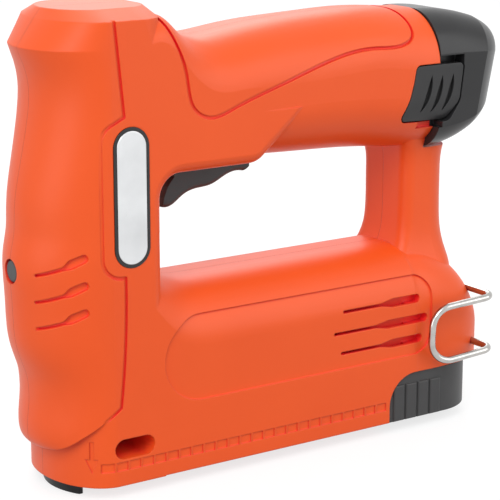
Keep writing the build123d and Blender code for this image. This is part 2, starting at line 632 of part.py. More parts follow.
def badge_outline(margin):
    """Badge in side view, a slot with round ends, grown by a margin."""
    half_width = BADGE_WIDTH / 2 + margin
    half_length = BADGE_LENGTH / 2 + margin
    x, z = BADGE_MID
    return stadium(x - half_width, x + half_width, z - half_length, z + half_length)


def in_strut(x, z):
    """True for a screw through the narrow strut."""
    return z > BASE_TOP_Z and x > TAIL_X


def screw_seat(x, z):
    """Where a screw's head sits: less deep in the strut."""
    return STRUT_SCREW_SEAT if in_strut(x, z) else SCREW_SEAT


def screw_reach(x, z):
    """How far a shank goes past the parting plane."""
    return STRUT_SCREW_REACH if in_strut(x, z) else SCREW_REACH


def grip_outline(gap):
    """Magazine grip in side view, grown by a gap. The front upper corner is a wide arc."""
    front, rear, top = GRIP_FRONT_X - gap, GRIP_REAR_X + gap, GRIP_TOP_Z + gap
    points = [(front, BOTTOM_Z), (front, top), (rear, top), (rear - 1.5, BOTTOM_Z)]
    return make_face(FilletPolyline(*points, radius=[0, GRIP_FRONT_R, 1, 3], close=True))


def grip_space():
    """Room for the grip in the tail of the base."""
    space = side_prism(grip_outline(SLIDE), -2 * SIDE_Y, 2 * SIDE_Y)
    return space + block((GRIP_FRONT_X - SLIDE, 2 * GRIP_REAR_X), (-2 * SIDE_Y, 2 * SIDE_Y), (0, BOTTOM_Z + 1)) \
        + block((GRIP_REAR_X - 5, 2 * GRIP_REAR_X), (-2 * SIDE_Y, 2 * SIDE_Y), (0, GRIP_TOP_Z + SLIDE))


def build_case():
    """Left and right half shells, split on the parting plane."""
    left_space = block((-60, 300), (-60, 0), (-20, 220))
    hollow = hollow_form() & left_space
    half = (outer_form() & left_space) - (hollow - inner_ribs())
    half = half - side_cuts()
    pilots = [rod_y(-screw_reach(x, z) - 1, 1, SCREW_R + SEAT, x, z) for x, z in SCREWS]
    legs = [rod_y(-2 * SIDE_Y, HOOK_DEPTH_Y, HOOK_WIRE_R + SEAT / 2, HOOK_LEGS_X, z)
            for z in (HOOK_UPPER_Z, HOOK_LOWER_Z)]
    bores = [rod_y(-1, 2 * SIDE_Y, SCREW_R + SEAT, x, z) for x, z in SCREWS]
    bores += [rod_y(screw_seat(x, z), 2 * SIDE_Y, SCREW_HEAD_R + SLIDE, x, z) for x, z in SCREWS]
    save("housing_left", half - pilots - legs)
    save("housing_right", mirror(half, Plane.XZ) - bores)


# Badges on both sides: a bare plate in a rim

def build_badges():
    floor_y = BADGE_SUNK - SIDE_Y - SEAT / 2
    plate = side_prism(badge_outline(0), -SIDE_Y - BADGE_PROUD, floor_y)
    plate = fillet(plate.faces().sort_by(Axis.Y)[0].edges(), 0.3)
    rim = side_prism(badge_outline(BADGE_RIM), -SIDE_Y - BADGE_PROUD / 2, floor_y)
    rim -= side_prism(badge_outline(SEAT / 2), -2 * SIDE_Y, 0)
    save("badge_plate_left", plate)
    save("badge_rim_left", rim)
    save("badge_plate_right", mirror(plate, Plane.XZ))
    save("badge_rim_right", mirror(rim, Plane.XZ))


# Front button with its spring and switch

def build_button():
    cap = rod_x(BUTTON_FACE_X, BUTTON_FLANGE_X, BUTTON_R, z=BUTTON_Z)
    cap = fillet(cap.edges().group_by(Axis.X)[0], 0.9)
    cap += rod_x(BUTTON_FLANGE_X, BUTTON_FLANGE_X + 1, BUTTON_R + 1, z=BUTTON_Z)
    cap += rod_x(BUTTON_FLANGE_X, BUTTON_BACK_X - 4.8, 1.6, z=BUTTON_Z)
    save("front_button", cap)
    switch_x = BUTTON_BACK_X - 3
    switch = block((switch_x, BUTTON_BACK_X - SEAT), (-5, 5), (BUTTON_Z - 4, BUTTON_Z + 4))
    save("button_switch", fillet(switch.edges().filter_by(Axis.X), 0.6))
    wire = 0.5
    start_x = BUTTON_FLANGE_X + 1 + wire / 2 + SEAT
    end_x = switch_x - wire / 2 - SEAT
    save("button_spring", coil((start_x, 0, BUTTON_Z), (1, 0, 0), end_x - start_x, 2.6, wire, 3))


# Trigger, hinged at its rear on a steel pin

def build_trigger():
    under = Spline(*TRIGGER_UNDER)
    back_x = TRIGGER_PIVOT[0] + TRIGGER_HUB_R - 0.3
    front = [(46, TRIGGER_TOP_Z), (46, 113), (43.1, 109.5), (41.4, 105.4), under @ 0]
    rest = Polyline(under @ 1, (back_x, 113.4), (back_x, TRIGGER_TOP_Z), *front)
    body = side_prism(make_face([under, rest]), -TRIGGER_HALF, TRIGGER_HALF)
    lower = [edge for edge in body.edges().filter_by(GeomType.BSPLINE)]
    body = fillet(lower, 3)
    body += rod_y(-TRIGGER_HALF, TRIGGER_HALF, TRIGGER_HUB_R, *TRIGGER_PIVOT)
    body -= rod_y(-2 * TRIGGER_HALF, 2 * TRIGGER_HALF, TRIGGER_PIN_R + RUNNING, *TRIGGER_PIVOT)
    save("trigger", body)
    save("trigger_pin", rod_y(1.2 - TRIGGER_BOSS_HALF, TRIGGER_BOSS_HALF - 1.2, TRIGGER_PIN_R, *TRIGGER_PIVOT))
    wire = 0.7
    start_z = TRIGGER_TOP_Z + wire / 2 + SEAT
    length = SWITCH_Z[0] - TRIGGER_TOP_Z - wire - 2 * SEAT
    save("trigger_spring", coil((TRIGGER_SPRING_X, 0, start_z), (0, 0, 1), length, 2.6, wire, 4))
    switch = block(SWITCH_X, (-SWITCH_HALF, SWITCH_HALF), SWITCH_Z)
    switch = chamfer(switch.edges().group_by(Axis.Z)[-1], 1)
    switch += rod_z(TRIGGER_TOP_Z + 4, SWITCH_Z[0], 1.5, SWITCH_X[0] + 5, 0)
    save("trigger_switch", switch)


# Battery pack: case in the handle, rear cap, three cells, clips and two side latches

BATTERY_MID_Z = (BAY_Z[0] + BAY_Z[1]) / 2
CASE_X = BAY_X + 2.5
LATCH_OUTER_Y = HANDLE_END_HALF - 0.4
LATCH_POCKET_Y = LATCH_OUTER_Y - LATCH_THICK - LATCH_TRAVEL - SLIDE


def cap_section(x, z0, z1, half, low, high, flat_low, flat_high, lean):
    """Section of the cap, upright or leaning back: flat flanks, bowed top and underside, creases between."""
    def shoulder(start, end, up):
        across, rise = end[0] - start[0], end[1] - start[1]
        side = 1 if start[0] + end[0] > 0 else -1
        middle = ((start[0] + end[0]) / 2 + side * abs(rise) * CAP_BOW,
                  (start[1] + end[1]) / 2 + up * abs(across) * CAP_BOW)
        return ThreePointArc(start, middle, end)

    right = [(y, z - BATTERY_MID_Z) for y, z in ((flat_low, z0), (half, low), (half, high), (flat_high, z1))]
    left = [(-y, z) for y, z in right[::-1]]
    edges = [shoulder(right[0], right[1], -1), Line(right[1], right[2]), shoulder(right[2], right[3], 1)]
    edges += [Line(right[3], left[0]), shoulder(left[0], left[1], 1), Line(left[1], left[2])]
    edges += [shoulder(left[2], left[3], -1), Line(left[3], right[0])]
    facing = (cos(radians(lean)), 0, -sin(radians(lean)))
    return Plane((x, 0, BATTERY_MID_Z), x_dir=(0, 1, 0), z_dir=facing) * make_face(edges)


def build_battery():
    pocket = side_prism(latch_outline(2 * SLIDE), -2 * SIDE_Y, -LATCH_POCKET_Y)
    for gap in latch_gaps():
        pocket += side_prism(gap, -2 * SIDE_Y, -LATCH_POCKET_Y)
    pocket = both_sides(pocket & block((0, LATCH[-1][0] + 2 * SLIDE), (-2 * SIDE_Y, 0), (100, 200)))
    z0, z1 = BAY_Z[0] + SLIDE, BAY_Z[1] - SLIDE
    case = tube(CASE_X, CAP_X - SEAT, z0, z1, BAY_HALF - SLIDE, BAY_R - SLIDE, BAY_R - SLIDE)
    inner_half = LATCH_POCKET_Y - CASE_WALL
    inner = tube(CASE_X + 2, CAP_X + 1, z0 + CASE_WALL, z1 - CASE_WALL, inner_half, BAY_R - 3, BAY_R - 3)
    case = case - inner - pocket
    for y in BLADES_Y:
        slot_y = (y - BLADE_THICK / 2 - SLIDE, y + BLADE_THICK / 2 + SLIDE)
        case -= block((BAY_X, CASE_X + 3), slot_y, (BLADE_Z[0] - SLIDE, BLADE_Z[1] + SLIDE))
    save("battery_case", case)

    crease = [section[0] for section in CAP].index(CAP_CREASE_X)
    cap = loft([cap_section(*section) for section in CAP[:crease + 1]])
    cap += loft([cap_section(*section) for section in CAP[crease:]])
    room = [(CAP_X - 1, 121, 163, inner_half, 11, 11), (176, 122, 161, inner_half, 11, 11),
            (CAP_CREASE_X, 125, 158, inner_half - CAP_WALL, 9, 9)]
    cap = cap - loft([tube_section(*section) for section in room]) - pocket
    save("battery_cap", cap)

    cell_x = CASE_X + 2 + CLIP_LENGTH + 2 * SEAT
    spread = (2 * CELL_R + 0.2) / sqrt(3)
    cells = [rod_x(cell_x, cell_x + CELL_LENGTH, CELL_R, spread * cos(radians(a)),
                   BATTERY_MID_Z + spread * sin(radians(a))) for a in (90, 210, 330)]
    save("battery_cells", Compound(children=cells))

    clips = []
    for y in BLADES_Y:
        clip = block((CASE_X + 2 + SEAT, CASE_X + 2 + SEAT + CLIP_LENGTH), (y - 1.9, y + 1.9), BLADE_Z)
        slit = (y - BLADE_THICK / 2 - SLIDE, y + BLADE_THICK / 2 + SLIDE)
        gap = block((CASE_X, CASE_X + 2 + CLIP_LENGTH - 0.6), slit, (BLADE_Z[0] - 1, BLADE_Z[1] + 1))
        clips.append(clip - gap)
    save("battery_clips", Compound(children=clips))

    low, high = HANDLE_END_Z[0] + 0.4, HANDLE_END_Z[1] - 0.4
    envelope = tube(LATCH[3][0] - 5, LATCH[-1][0] + 5, low, high, LATCH_OUTER_Y, HANDLE_END_R, HANDLE_END_R)
    latch = side_prism(latch_outline(0), -2 * SIDE_Y, LATCH_THICK - LATCH_OUTER_Y) & envelope
    for x, z in LATCH_SLOTS:
        lean = (x + 0.32 * LATCH_SLOT_RISE[0], z + 0.5 * LATCH_SLOT_RISE[1])
        top = (x + LATCH_SLOT_RISE[0], z + LATCH_SLOT_RISE[1])
        edge = ThreePointArc((x, z), (lean[0] + 0.9, lean[1]), top)
        slot = make_face([ThreePointArc((x, z), (lean[0] + 3.3, lean[1]), top), edge])
        latch -= side_prism(slot, -2 * SIDE_Y, 1.6 - LATCH_OUTER_Y)
    save("battery_latch_left", latch)
    save("battery_latch_right", mirror(latch, Plane.XZ))


# Terminal block with its blades, and the control board, in the front of the handle

def build_electrics():
    holder = block(TERMINAL_X, (-TERMINAL_HALF, TERMINAL_HALF), (BLADE_Z[0] - 6, BLADE_Z[1] + 6))
    blades = []
    for y in BLADES_Y:
        across = (y - BLADE_THICK / 2, y + BLADE_THICK / 2)
        blade = block((TERMINAL_X[0] - 4, CASE_X + 2 + CLIP_LENGTH - 1), across,
                      (BLADE_Z[0] + 1, BLADE_Z[1] - 1))
        slot_y = (y - BLADE_THICK / 2 - SEAT / 2, y + BLADE_THICK / 2 + SEAT / 2)
        holder -= block((TERMINAL_X[0] - 1, TERMINAL_X[1] + 1), slot_y, (BLADE_Z[0] + 0.9, BLADE_Z[1] - 0.9))
        blades.append(blade)
    save("terminal_block", holder)
    save("terminal_blades", Compound(children=blades))
    board = block(BOARD_X, (-BOARD_HALF, BOARD_HALF), (BOARD_Z, BOARD_Z + 1.6))
    top = BOARD_Z + 1.6
    board += block((52, 62), (-10, 0), (top, top + 2.2))
    board += block((66, 72), (2, 14), (top, top + 3))
    for y in (-13, 13):
        board += rod_z(top, top + 4, 2.2, 77, y)
    save("control_board", board)


# Motor

MOTOR_X = GEARBOX_X[1] + 0.2
MOTOR_REAR_X = MOTOR_X + MOTOR_LENGTH


def build_motor():
    can = rod_x(MOTOR_X, MOTOR_REAR_X, MOTOR_R) - rod_x(MOTOR_X + 2.5, MOTOR_REAR_X + 1, MOTOR_R - MOTOR_WALL)
    save("motor_can", can - rod_x(MOTOR_X - 1, MOTOR_X + 3, MOTOR_SHAFT_R + RUNNING))
    lid = rod_x(MOTOR_REAR_X + SEAT, MOTOR_REAR_X + MOTOR_CAP, MOTOR_R)
    lid += rod_x(MOTOR_REAR_X - 3, MOTOR_REAR_X + 1, MOTOR_R - MOTOR_WALL - SEAT)
    lid -= rod_x(MOTOR_REAR_X - 4, MOTOR_REAR_X + 1, MOTOR_R - MOTOR_WALL - 2)
    save("motor_end", lid - rod_x(MOTOR_REAR_X, MOTOR_REAR_X + MOTOR_CAP - 1, MOTOR_SHAFT_R + RUNNING))
    core_x = (MOTOR_X + 8, MOTOR_X + 38)
    sleeve = rod_x(*core_x, MOTOR_R - MOTOR_WALL - SEAT / 2) - rod_x(*core_x, ARMATURE_R + 0.6)
    gap = block(core_x, (-MOTOR_R, MOTOR_R), (DRIVE_Z - 4, DRIVE_Z + 4))
    save("motor_magnets", sleeve - gap)
    rotor = rod_x(SUN_X - 0.2, MOTOR_REAR_X + MOTOR_CAP - 1.5, MOTOR_SHAFT_R)
    core = rod_x(*core_x, ARMATURE_R)
    for slot in range(5):
        notch = block(core_x, (6, ARMATURE_R + 1), (-1, 1))
        core -= Pos(0, 0, DRIVE_Z) * Rot(72 * slot, 0, 0) * notch
    rotor += core + rod_x(core_x[1] + 1, MOTOR_REAR_X - 1, 5.5)
    save("motor_rotor", rotor)
    save("sun_gear", gear(sun_face(), SUN_X, GEAR_WIDTH) - rod_x(SUN_X - 1, SUN_X + 9, MOTOR_SHAFT_R + 0.01))


# Two-stage planetary gearbox

PLANET_RADIUS = (SUN_TEETH + PLANET_TEETH) * MODULE / 2
PLANET_ANGLES = [90 + 360 * k / PLANETS for k in range(PLANETS)]
SECOND_PLATE_X = GEARBOX_X[0] + 1
SECOND_PLANET_X = SECOND_PLATE_X + PLATE + 0.6
FIRST_PLATE_X = SECOND_PLANET_X + GEAR_WIDTH + 0.8
FIRST_PLANET_X = FIRST_PLATE_X + PLATE + 0.6
SUN_X = FIRST_PLANET_X + 0.2


def sun_face():
    """Sun gear outline."""
    return gear_face(SUN_TEETH, MODULE, 0.9 * MODULE, 1.2 * MODULE, BACKLASH)


def planet_spot(angle):
    """Centre of a planet."""
    return PLANET_RADIUS * cos(radians(angle)), DRIVE_Z + PLANET_RADIUS * sin(radians(angle))


def carrier(plate_x):
    """Carrier plate with its planet pins."""
    body = rod_x(plate_x, plate_x + PLATE, PLANET_RADIUS + 3.3)
    for angle in PLANET_ANGLES:
        body += rod_x(plate_x + PLATE - 0.5, plate_x + PLATE + 0.6 + GEAR_WIDTH, PIN_R, *planet_spot(angle))
    return body


def build_gearbox():
    space = gear_face(RING_TEETH, MODULE, 1.25 * MODULE, 0.85 * MODULE, -BACKLASH)
    width = GEARBOX_X[1] - GEARBOX_X[0]
    ring = rod_x(*GEARBOX_X, GEARBOX_R) - gear(space, GEARBOX_X[0] - 1, width + 2, turn=90)
    save("gearbox_ring", ring)
    cover_x = GEARBOX_X[0] - SEAT
    cover = rod_x(cover_x - GEARBOX_COVER, cover_x, GEARBOX_R)
    save("gearbox_cover", cover - rod_x(cover_x - 9, cover_x + 1, SHAFT_R + SLIDE))
    wheel = gear_face(PLANET_TEETH, MODULE, 0.9 * MODULE, 1.2 * MODULE, BACKLASH)
    for stage, planet_x in ((1, FIRST_PLANET_X), (2, SECOND_PLANET_X)):
        for letter, angle in zip("abc", PLANET_ANGLES):
            y, z = planet_spot(angle)
            planet = gear(wheel, planet_x, GEAR_WIDTH, y, z, angle)
            save(f"planet_{stage}{letter}", planet - rod_x(planet_x - 1, planet_x + 9, PIN_R + RUNNING, y, z))
    first = carrier(FIRST_PLATE_X)
    first += gear(sun_face(), SECOND_PLANET_X + 0.2, FIRST_PLATE_X - SECOND_PLANET_X)
    save("carrier_first", first)
    second = carrier(SECOND_PLATE_X) + rod_x(SHAFT_FRONT_X, SECOND_PLATE_X + 0.5, SHAFT_R)
    save("output_shaft", second)
    bush = rod_x(BUSH_X[0], BUSH_X[1], BUSH_R) - rod_x(BUSH_X[0] - 1, BUSH_X[1] + 1, SHAFT_R + RUNNING)
    save("output_bush", bush)


# Lift gear, toothed part of the way round, and the hammer it lifts by a rack

LIFT_R = LIFT_TEETH * LIFT_MODULE / 2


def build_hammer():
    sweep_angle = degrees(LIFT_STROKE / LIFT_R)
    face = gear_face(LIFT_TEETH, LIFT_MODULE, 0.9 * LIFT_MODULE, 1.25 * LIFT_MODULE, BACKLASH,
                     keep=(-sweep_angle - 25, 25))
    lift = gear(face, LIFT_X[0], LIFT_X[1] - LIFT_X[0])
    save("lift_gear", lift - rod_x(LIFT_X[0] - 1, LIFT_X[1] + 1, SHAFT_R + 0.01))

    tip_y, root_y = LIFT_R - 0.9 * LIFT_MODULE, LIFT_R + 1.3 * LIFT_MODULE
    arm_x = (LIFT_X[0] - 0.4, LIFT_X[1] + 0.4)
    arm = block(arm_x, (root_y, root_y + RACK_BACK), RACK_Z)
    arm += block((HAMMER_X - 1, arm_x[1]), (root_y, root_y + RACK_BACK), (HAMMER_Z[0] + 5, RACK_Z[1]))
    pitch = pi * LIFT_MODULE
    slope = tan(radians(20))
    base_half = (pitch / 2 - BACKLASH) / 2 + (root_y - LIFT_R) * slope
    tip_half = (pitch / 2 - BACKLASH) / 2 - (LIFT_R - tip_y) * slope
    z = DRIVE_Z + pitch / 2
    while z - pitch - base_half > RACK_Z[0]:
        z -= pitch
    while z + base_half < RACK_Z[1]:
        tooth = Polyline((root_y + 0.2, z - base_half), (tip_y, z - tip_half), (tip_y, z + tip_half),
                         (root_y + 0.2, z + base_half), close=True)
        arm += extrude(Plane((arm_x[0], 0, 0), x_dir=(0, 1, 0), z_dir=(1, 0, 0)) * make_face(tooth),
                       amount=arm_x[1] - arm_x[0], dir=(1, 0, 0))
        z += pitch
    head = block((-HAMMER_X, HAMMER_X), (-HAMMER_HALF, HAMMER_HALF), HAMMER_Z)
    head = chamfer(head.edges().filter_by(Axis.Z), 1) + arm
    socket_top = HAMMER_Z[0] + DRIVER_SOCKET
    head -= block((-DRIVER_THICK / 2 - SEAT / 2, DRIVER_THICK / 2 + SEAT / 2),
                  (-DRIVER_WIDTH / 2 - SEAT / 2, DRIVER_WIDTH / 2 + SEAT / 2),
                  (HAMMER_Z[0] - 1, socket_top + SEAT / 2))
    for y in (-ROD_Y, ROD_Y):
        head -= rod_z(HAMMER_Z[0] - 1, HAMMER_Z[1] + 1, ROD_R + RUNNING, 0, y)
    save("hammer", head)
    blade = block((-DRIVER_THICK / 2, DRIVER_THICK / 2), (-DRIVER_WIDTH / 2, DRIVER_WIDTH / 2),
                  (DRIVER_TIP_Z, socket_top))
    save("driver_blade", blade)

    start_z = HAMMER_Z[1] + HAMMER_WIRE / 2 + SEAT
    length = SPRING_PLATE_Z - HAMMER_Z[1] - HAMMER_WIRE - 2 * SEAT
    for side, y in (("left", -ROD_Y), ("right", ROD_Y)):
        spring = coil((0, y, start_z), (0, 0, 1), length, HAMMER_SPRING_R, HAMMER_WIRE, HAMMER_TURNS)
        save(f"hammer_spring_{side}", spring)
    rod_top = SPRING_PLATE_Z + SPRING_PLATE - SEAT
    rods = [rod_z(FLANGE_Z[0] + 2, rod_top, ROD_R, 0, y) for y in (-ROD_Y, ROD_Y)]
    save("guide_rods", Compound(children=rods))
    plate = block((-5.2, 5.2), (-FLANGE_HALF, FLANGE_HALF), (SPRING_PLATE_Z, SPRING_PLATE_Z + SPRING_PLATE))
    plate = chamfer(plate.edges().filter_by(Axis.Z), 4)
    pad_z = (FLANGE_Z[1] + SEAT, HAMMER_Z[0] - 0.2)
    bumper = both_sides(block((-3.8, 3.8), (DRIVER_WIDTH / 2 + 0.6, HAMMER_HALF), pad_z))
    for y in (-ROD_Y, ROD_Y):
        plate -= rod_z(SPRING_PLATE_Z - 1, SPRING_PLATE_Z + 9, ROD_R + SEAT / 2, 0, y)
        bumper -= rod_z(FLANGE_Z[1] - 1, HAMMER_Z[0], ROD_R + SEAT / 2, 0, y)
    save("spring_plate", plate)
    save("hammer_bumper", bumper)


# Nose: steel guide block for the driver, and the sprung safety yoke in front of it

def build_nose():
    mid_x = YOKE_FRONT_X + YOKE_R
    block_r = YOKE_R - YOKE_THICK - SLIDE
    lower = block(NOSE_BLOCK_X, (-NOSE_BLOCK_HALF, NOSE_BLOCK_HALF), (0, FLANGE_Z[0] + 1))
    lower = lower & rod_z(-1, FLANGE_Z[1], block_r, mid_x, 0)
    body = lower + block((FLANGE_FRONT_X, NOSE_BLOCK_X[1]), (-FLANGE_HALF, FLANGE_HALF), FLANGE_Z)
    body -= block((-DRIVER_THICK / 2 - 0.15, DRIVER_THICK / 2 + 0.15),
                  (-DRIVER_WIDTH / 2 - 0.2, DRIVER_WIDTH / 2 + 0.2),
                  (-1, FLANGE_Z[1] + 1))
    body -= block((0, NOSE_BLOCK_X[1] + 1), (-CHANNEL_HALF + CHANNEL_WALL, CHANNEL_HALF - CHANNEL_WALL),
                  (-1, CHANNEL_TOP_Z - CHANNEL_WALL))
    for y in (-ROD_Y, ROD_Y):
        body -= rod_z(FLANGE_Z[0] + 2 - SEAT, FLANGE_Z[1] + 1, ROD_R + SEAT / 2, 0, y)
    save("nose_block", body)

    ring = rod_z(YOKE_TIP_Z, YOKE_TOP_Z, YOKE_R, mid_x, 0)
    ring -= rod_z(YOKE_TIP_Z, YOKE_TOP_Z, YOKE_R - YOKE_THICK, mid_x, 0)
    yoke = ring & block((YOKE_FRONT_X - 1, mid_x - 10), (-YOKE_HALF, YOKE_HALF), (YOKE_TIP_Z - 1, YOKE_TOP_Z + 1))
    tips = [edge for edge in yoke.edges().filter_by(Axis.Z)]
    yoke = fillet(tips, 0.9)
    spring_x = mid_x - sqrt((YOKE_R - YOKE_THICK / 2) ** 2 - YOKE_SPRING_Y ** 2)
    wire = 0.5
    springs = []
    for y in (-YOKE_SPRING_Y, YOKE_SPRING_Y):
        yoke += rod_z(YOKE_TOP_Z - 2, YOKE_TOP_Z, 2.2, spring_x, y)
        length = FLANGE_Z[0] - YOKE_TOP_Z - wire - 2 * SEAT
        springs.append(coil((spring_x, y, YOKE_TOP_Z + wire / 2 + SEAT), (0, 0, 1), length, 1.7, wire, 5))
    save("safety_yoke", yoke)
    save("yoke_springs", Compound(children=springs))
    switch = block((1, 5.2), (YOKE_HALF + 1.2, YOKE_HALF + 6.2), (BOTTOM_Z + WALL + SEAT, 15))
    save("safety_switch", switch + rod_x(-0.4, 1.5, 0.9, YOKE_HALF + 2.2, YOKE_TOP_Z - 1))


# Magazine: fixed channel, and the drawer with its grip, rail, rod, pusher and feed spring

CHANNEL_X = (NOSE_BLOCK_X[1] + 0.2, GRIP_FRONT_X - 0.5)
RAIL_X = (CHANNEL_X[0] + 0.5, GRIP_FRONT_X + 12)
PUSHER_X = (CHANNEL_X[0] + 1, CHANNEL_X[0] + 1 + PUSHER_LENGTH)
FEED_SEAT_X = GRIP_FRONT_X + 2
ROD_END_X = GRIP_FRONT_X + 13


def build_magazine():
    inner = CHANNEL_HALF - CHANNEL_WALL
    channel = block(CHANNEL_X, (-CHANNEL_HALF, CHANNEL_HALF), (CHANNEL_BOTTOM_Z, CHANNEL_TOP_Z))
    channel -= block((0, 200), (-inner, inner), (0, CHANNEL_TOP_Z - CHANNEL_WALL))
    channel -= side_prism(stadium(*SIGHT_X, *SIGHT_Z), -SIDE_Y, SIDE_Y)
    save("magazine_channel", channel)

    rail = block(RAIL_X, (-RAIL_HALF, RAIL_HALF), (CHANNEL_BOTTOM_Z + 0.4, RAIL_TOP_Z))
    rail -= block((0, 200), (RAIL_WALL - RAIL_HALF, RAIL_HALF - RAIL_WALL), (0, RAIL_TOP_Z - RAIL_WALL))
    save("feed_rail", rail)
    save("feed_rod", rod_x(PUSHER_X[0] + 1, ROD_END_X - 2 - SEAT, FEED_ROD_R, z=FEED_Z))

    saddle = block(PUSHER_X, (0.5 - inner, inner - 0.5), (7, CHANNEL_TOP_Z - CHANNEL_WALL - 0.5))
    saddle -= block((0, 200), (-RAIL_HALF - SLIDE, RAIL_HALF + SLIDE), (0, RAIL_TOP_Z + SLIDE))
    save("pusher", saddle - rod_x(0, 50, FEED_ROD_R + SLIDE, z=FEED_Z))
    start_x = PUSHER_X[1] + FEED_WIRE / 2 + SEAT
    length = FEED_SEAT_X - FEED_WIRE / 2 - SEAT - start_x
    save("feed_spring", coil((start_x, 0, FEED_Z), (1, 0, 0), length, FEED_SPRING_R, FEED_WIRE, FEED_TURNS))

    grip = side_prism(grip_outline(0), -GRIP_HALF, GRIP_HALF)
    corners = [(GRIP_FRONT_X - 1, -GRIP_HALF), (GRIP_REAR_X, -GRIP_HALF), (GRIP_REAR_X, GRIP_HALF),
               (GRIP_FRONT_X - 1, GRIP_HALF)]
    plan = make_face(FilletPolyline(*corners, radius=[0, GRIP_PLAN_R, GRIP_PLAN_R, 0], close=True))
    grip = grip & extrude(plan, amount=GRIP_TOP_Z + 5)
    grip -= block((0, RAIL_X[1] + SEAT), (-RAIL_HALF - SEAT / 2, RAIL_HALF + SEAT / 2), (0, RAIL_TOP_Z + SEAT / 2))
    grip += rod_x(FEED_SEAT_X, ROD_END_X, FEED_SPRING_R + 0.6, z=FEED_Z)
    grip -= rod_x(0, ROD_END_X - 2, FEED_ROD_R + SEAT / 2, z=FEED_Z)
    for rib in range(GRIP_RIBS):
        x = GRIP_RIB_X + GRIP_RIB_PITCH * rib
        proud = (-GRIP_HALF - GRIP_RIB_PROUD, 3 - GRIP_HALF)
        bar = block((x, x + GRIP_RIB_WIDTH), proud, (BOTTOM_Z, GRIP_RIB_TOP_Z))
        bar = fillet(bar.faces().sort_by(Axis.Y)[0].edges(), GRIP_RIB_PROUD * 0.95)
        bar = bar & side_prism(grip_outline(0), -2 * SIDE_Y, 0)
        grip = grip + bar + mirror(bar, Plane.XZ)
    save("magazine_grip", grip)


# Belt hook: one bent wire with both legs in the tail of the case

def bent_wire(points, bend, radius):
    """Round wire through the given corners, each rounded to its own bend radius."""
    edges = []
    start = Vector(*points[0])
    for before, corner, after, bend_r in zip(points, points[1:], points[2:], bend):
        place = Vector(*corner)
        heading = (place - Vector(*before)).normalized()
        leaving = (Vector(*after) - place).normalized()
        trim = bend_r * tan(acos(max(-1, min(1, heading.dot(leaving)))) / 2)
        stop = place - heading * trim
        edges.append(Line(start, stop))
        edges.append(TangentArc(stop, place + leaving * trim, tangent=heading))
        start = place + leaving * trim
    edges.append(Line(start, Vector(*points[-1])))
    path = Wire(edges)
    return sweep(Plane(path @ 0, z_dir=path % 0) * Circle(radius), path=path)


def build_hook():
    legs_y = HOOK_DEPTH_Y - SEAT
    corners = [(HOOK_LEGS_X, legs_y, HOOK_UPPER_Z), (HOOK_LEGS_X, HOOK_REAR_Y, HOOK_UPPER_Z),
               (155.4, HOOK_FRONT_Y, HOOK_UPPER_Z - 3), (154.4, HOOK_FRONT_Y, HOOK_LOWER_Z - 3.8),
               (HOOK_LEGS_X, HOOK_REAR_Y, HOOK_LOWER_Z), (HOOK_LEGS_X, legs_y, HOOK_LOWER_Z)]
    save("belt_hook", bent_wire(corners, HOOK_BENDS, HOOK_WIRE_R))


# Case screws, put in from the right

def build_screws():
    screws = []
    for x, z in SCREWS:
        seat = screw_seat(x, z)
        head = rod_y(seat, seat + SCREW_HEAD, SCREW_HEAD_R, x, z)
        head = fillet(head.edges().group_by(Axis.Y)[-1], 0.8)
        recess = side_prism(Pos(x, z) * RegularPolygon(1.5, 6), seat + 0.8, seat + 5)
        screws.append(head + rod_y(-screw_reach(x, z), seat + 0.1, SCREW_R, x, z) - recess)
    save("case_screws", Compound(children=screws))


if __name__ == "__main__":
    os.makedirs("parts", exist_ok=True)
    build_case()
    build_badges()
    build_button()
    build_trigger()
    build_battery()
    build_electrics()
    build_motor()
    build_gearbox()
    build_hammer()
    build_nose()
    build_magazine()
    build_hook()
    build_screws()
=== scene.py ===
import math

import bpy
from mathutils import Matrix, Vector


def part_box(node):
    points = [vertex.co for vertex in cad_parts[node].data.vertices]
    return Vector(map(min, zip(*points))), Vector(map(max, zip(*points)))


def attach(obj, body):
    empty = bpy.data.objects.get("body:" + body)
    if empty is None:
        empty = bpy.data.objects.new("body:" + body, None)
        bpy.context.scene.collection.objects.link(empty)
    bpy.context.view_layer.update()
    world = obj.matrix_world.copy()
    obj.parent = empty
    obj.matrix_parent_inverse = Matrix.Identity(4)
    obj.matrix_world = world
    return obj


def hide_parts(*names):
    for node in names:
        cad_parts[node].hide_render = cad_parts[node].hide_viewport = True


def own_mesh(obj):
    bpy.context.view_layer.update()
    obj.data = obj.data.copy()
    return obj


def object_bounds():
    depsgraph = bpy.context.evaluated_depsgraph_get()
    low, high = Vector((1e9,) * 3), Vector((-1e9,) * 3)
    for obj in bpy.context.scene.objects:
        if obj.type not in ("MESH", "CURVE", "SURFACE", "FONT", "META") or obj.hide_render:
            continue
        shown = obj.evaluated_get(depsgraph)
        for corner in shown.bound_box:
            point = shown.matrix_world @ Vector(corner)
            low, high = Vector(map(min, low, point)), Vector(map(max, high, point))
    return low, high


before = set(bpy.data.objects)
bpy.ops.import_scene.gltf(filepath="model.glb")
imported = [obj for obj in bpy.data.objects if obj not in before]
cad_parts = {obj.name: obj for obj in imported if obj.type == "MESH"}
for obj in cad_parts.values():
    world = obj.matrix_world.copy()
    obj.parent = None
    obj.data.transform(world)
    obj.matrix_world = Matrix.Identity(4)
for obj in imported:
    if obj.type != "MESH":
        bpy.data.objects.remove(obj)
cad_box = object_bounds()


# Drive unit: a can motor with its wound armature, two planetary stages and the lift gear's shaft.
# Turned and hobbed steel, a drawn zinc-plated can, a sintered bronze bush and a moulded end cap;
# all of it sits in webs moulded inside the case.

MM = 0.001
GRAIN_DEPTH = 0.2 * MM
FINE_DETAIL = 3.0
BROAD_DETAIL = 4.0
TINT_STOPS = (0.3, 0.7)
EDGE_SAMPLES = 6


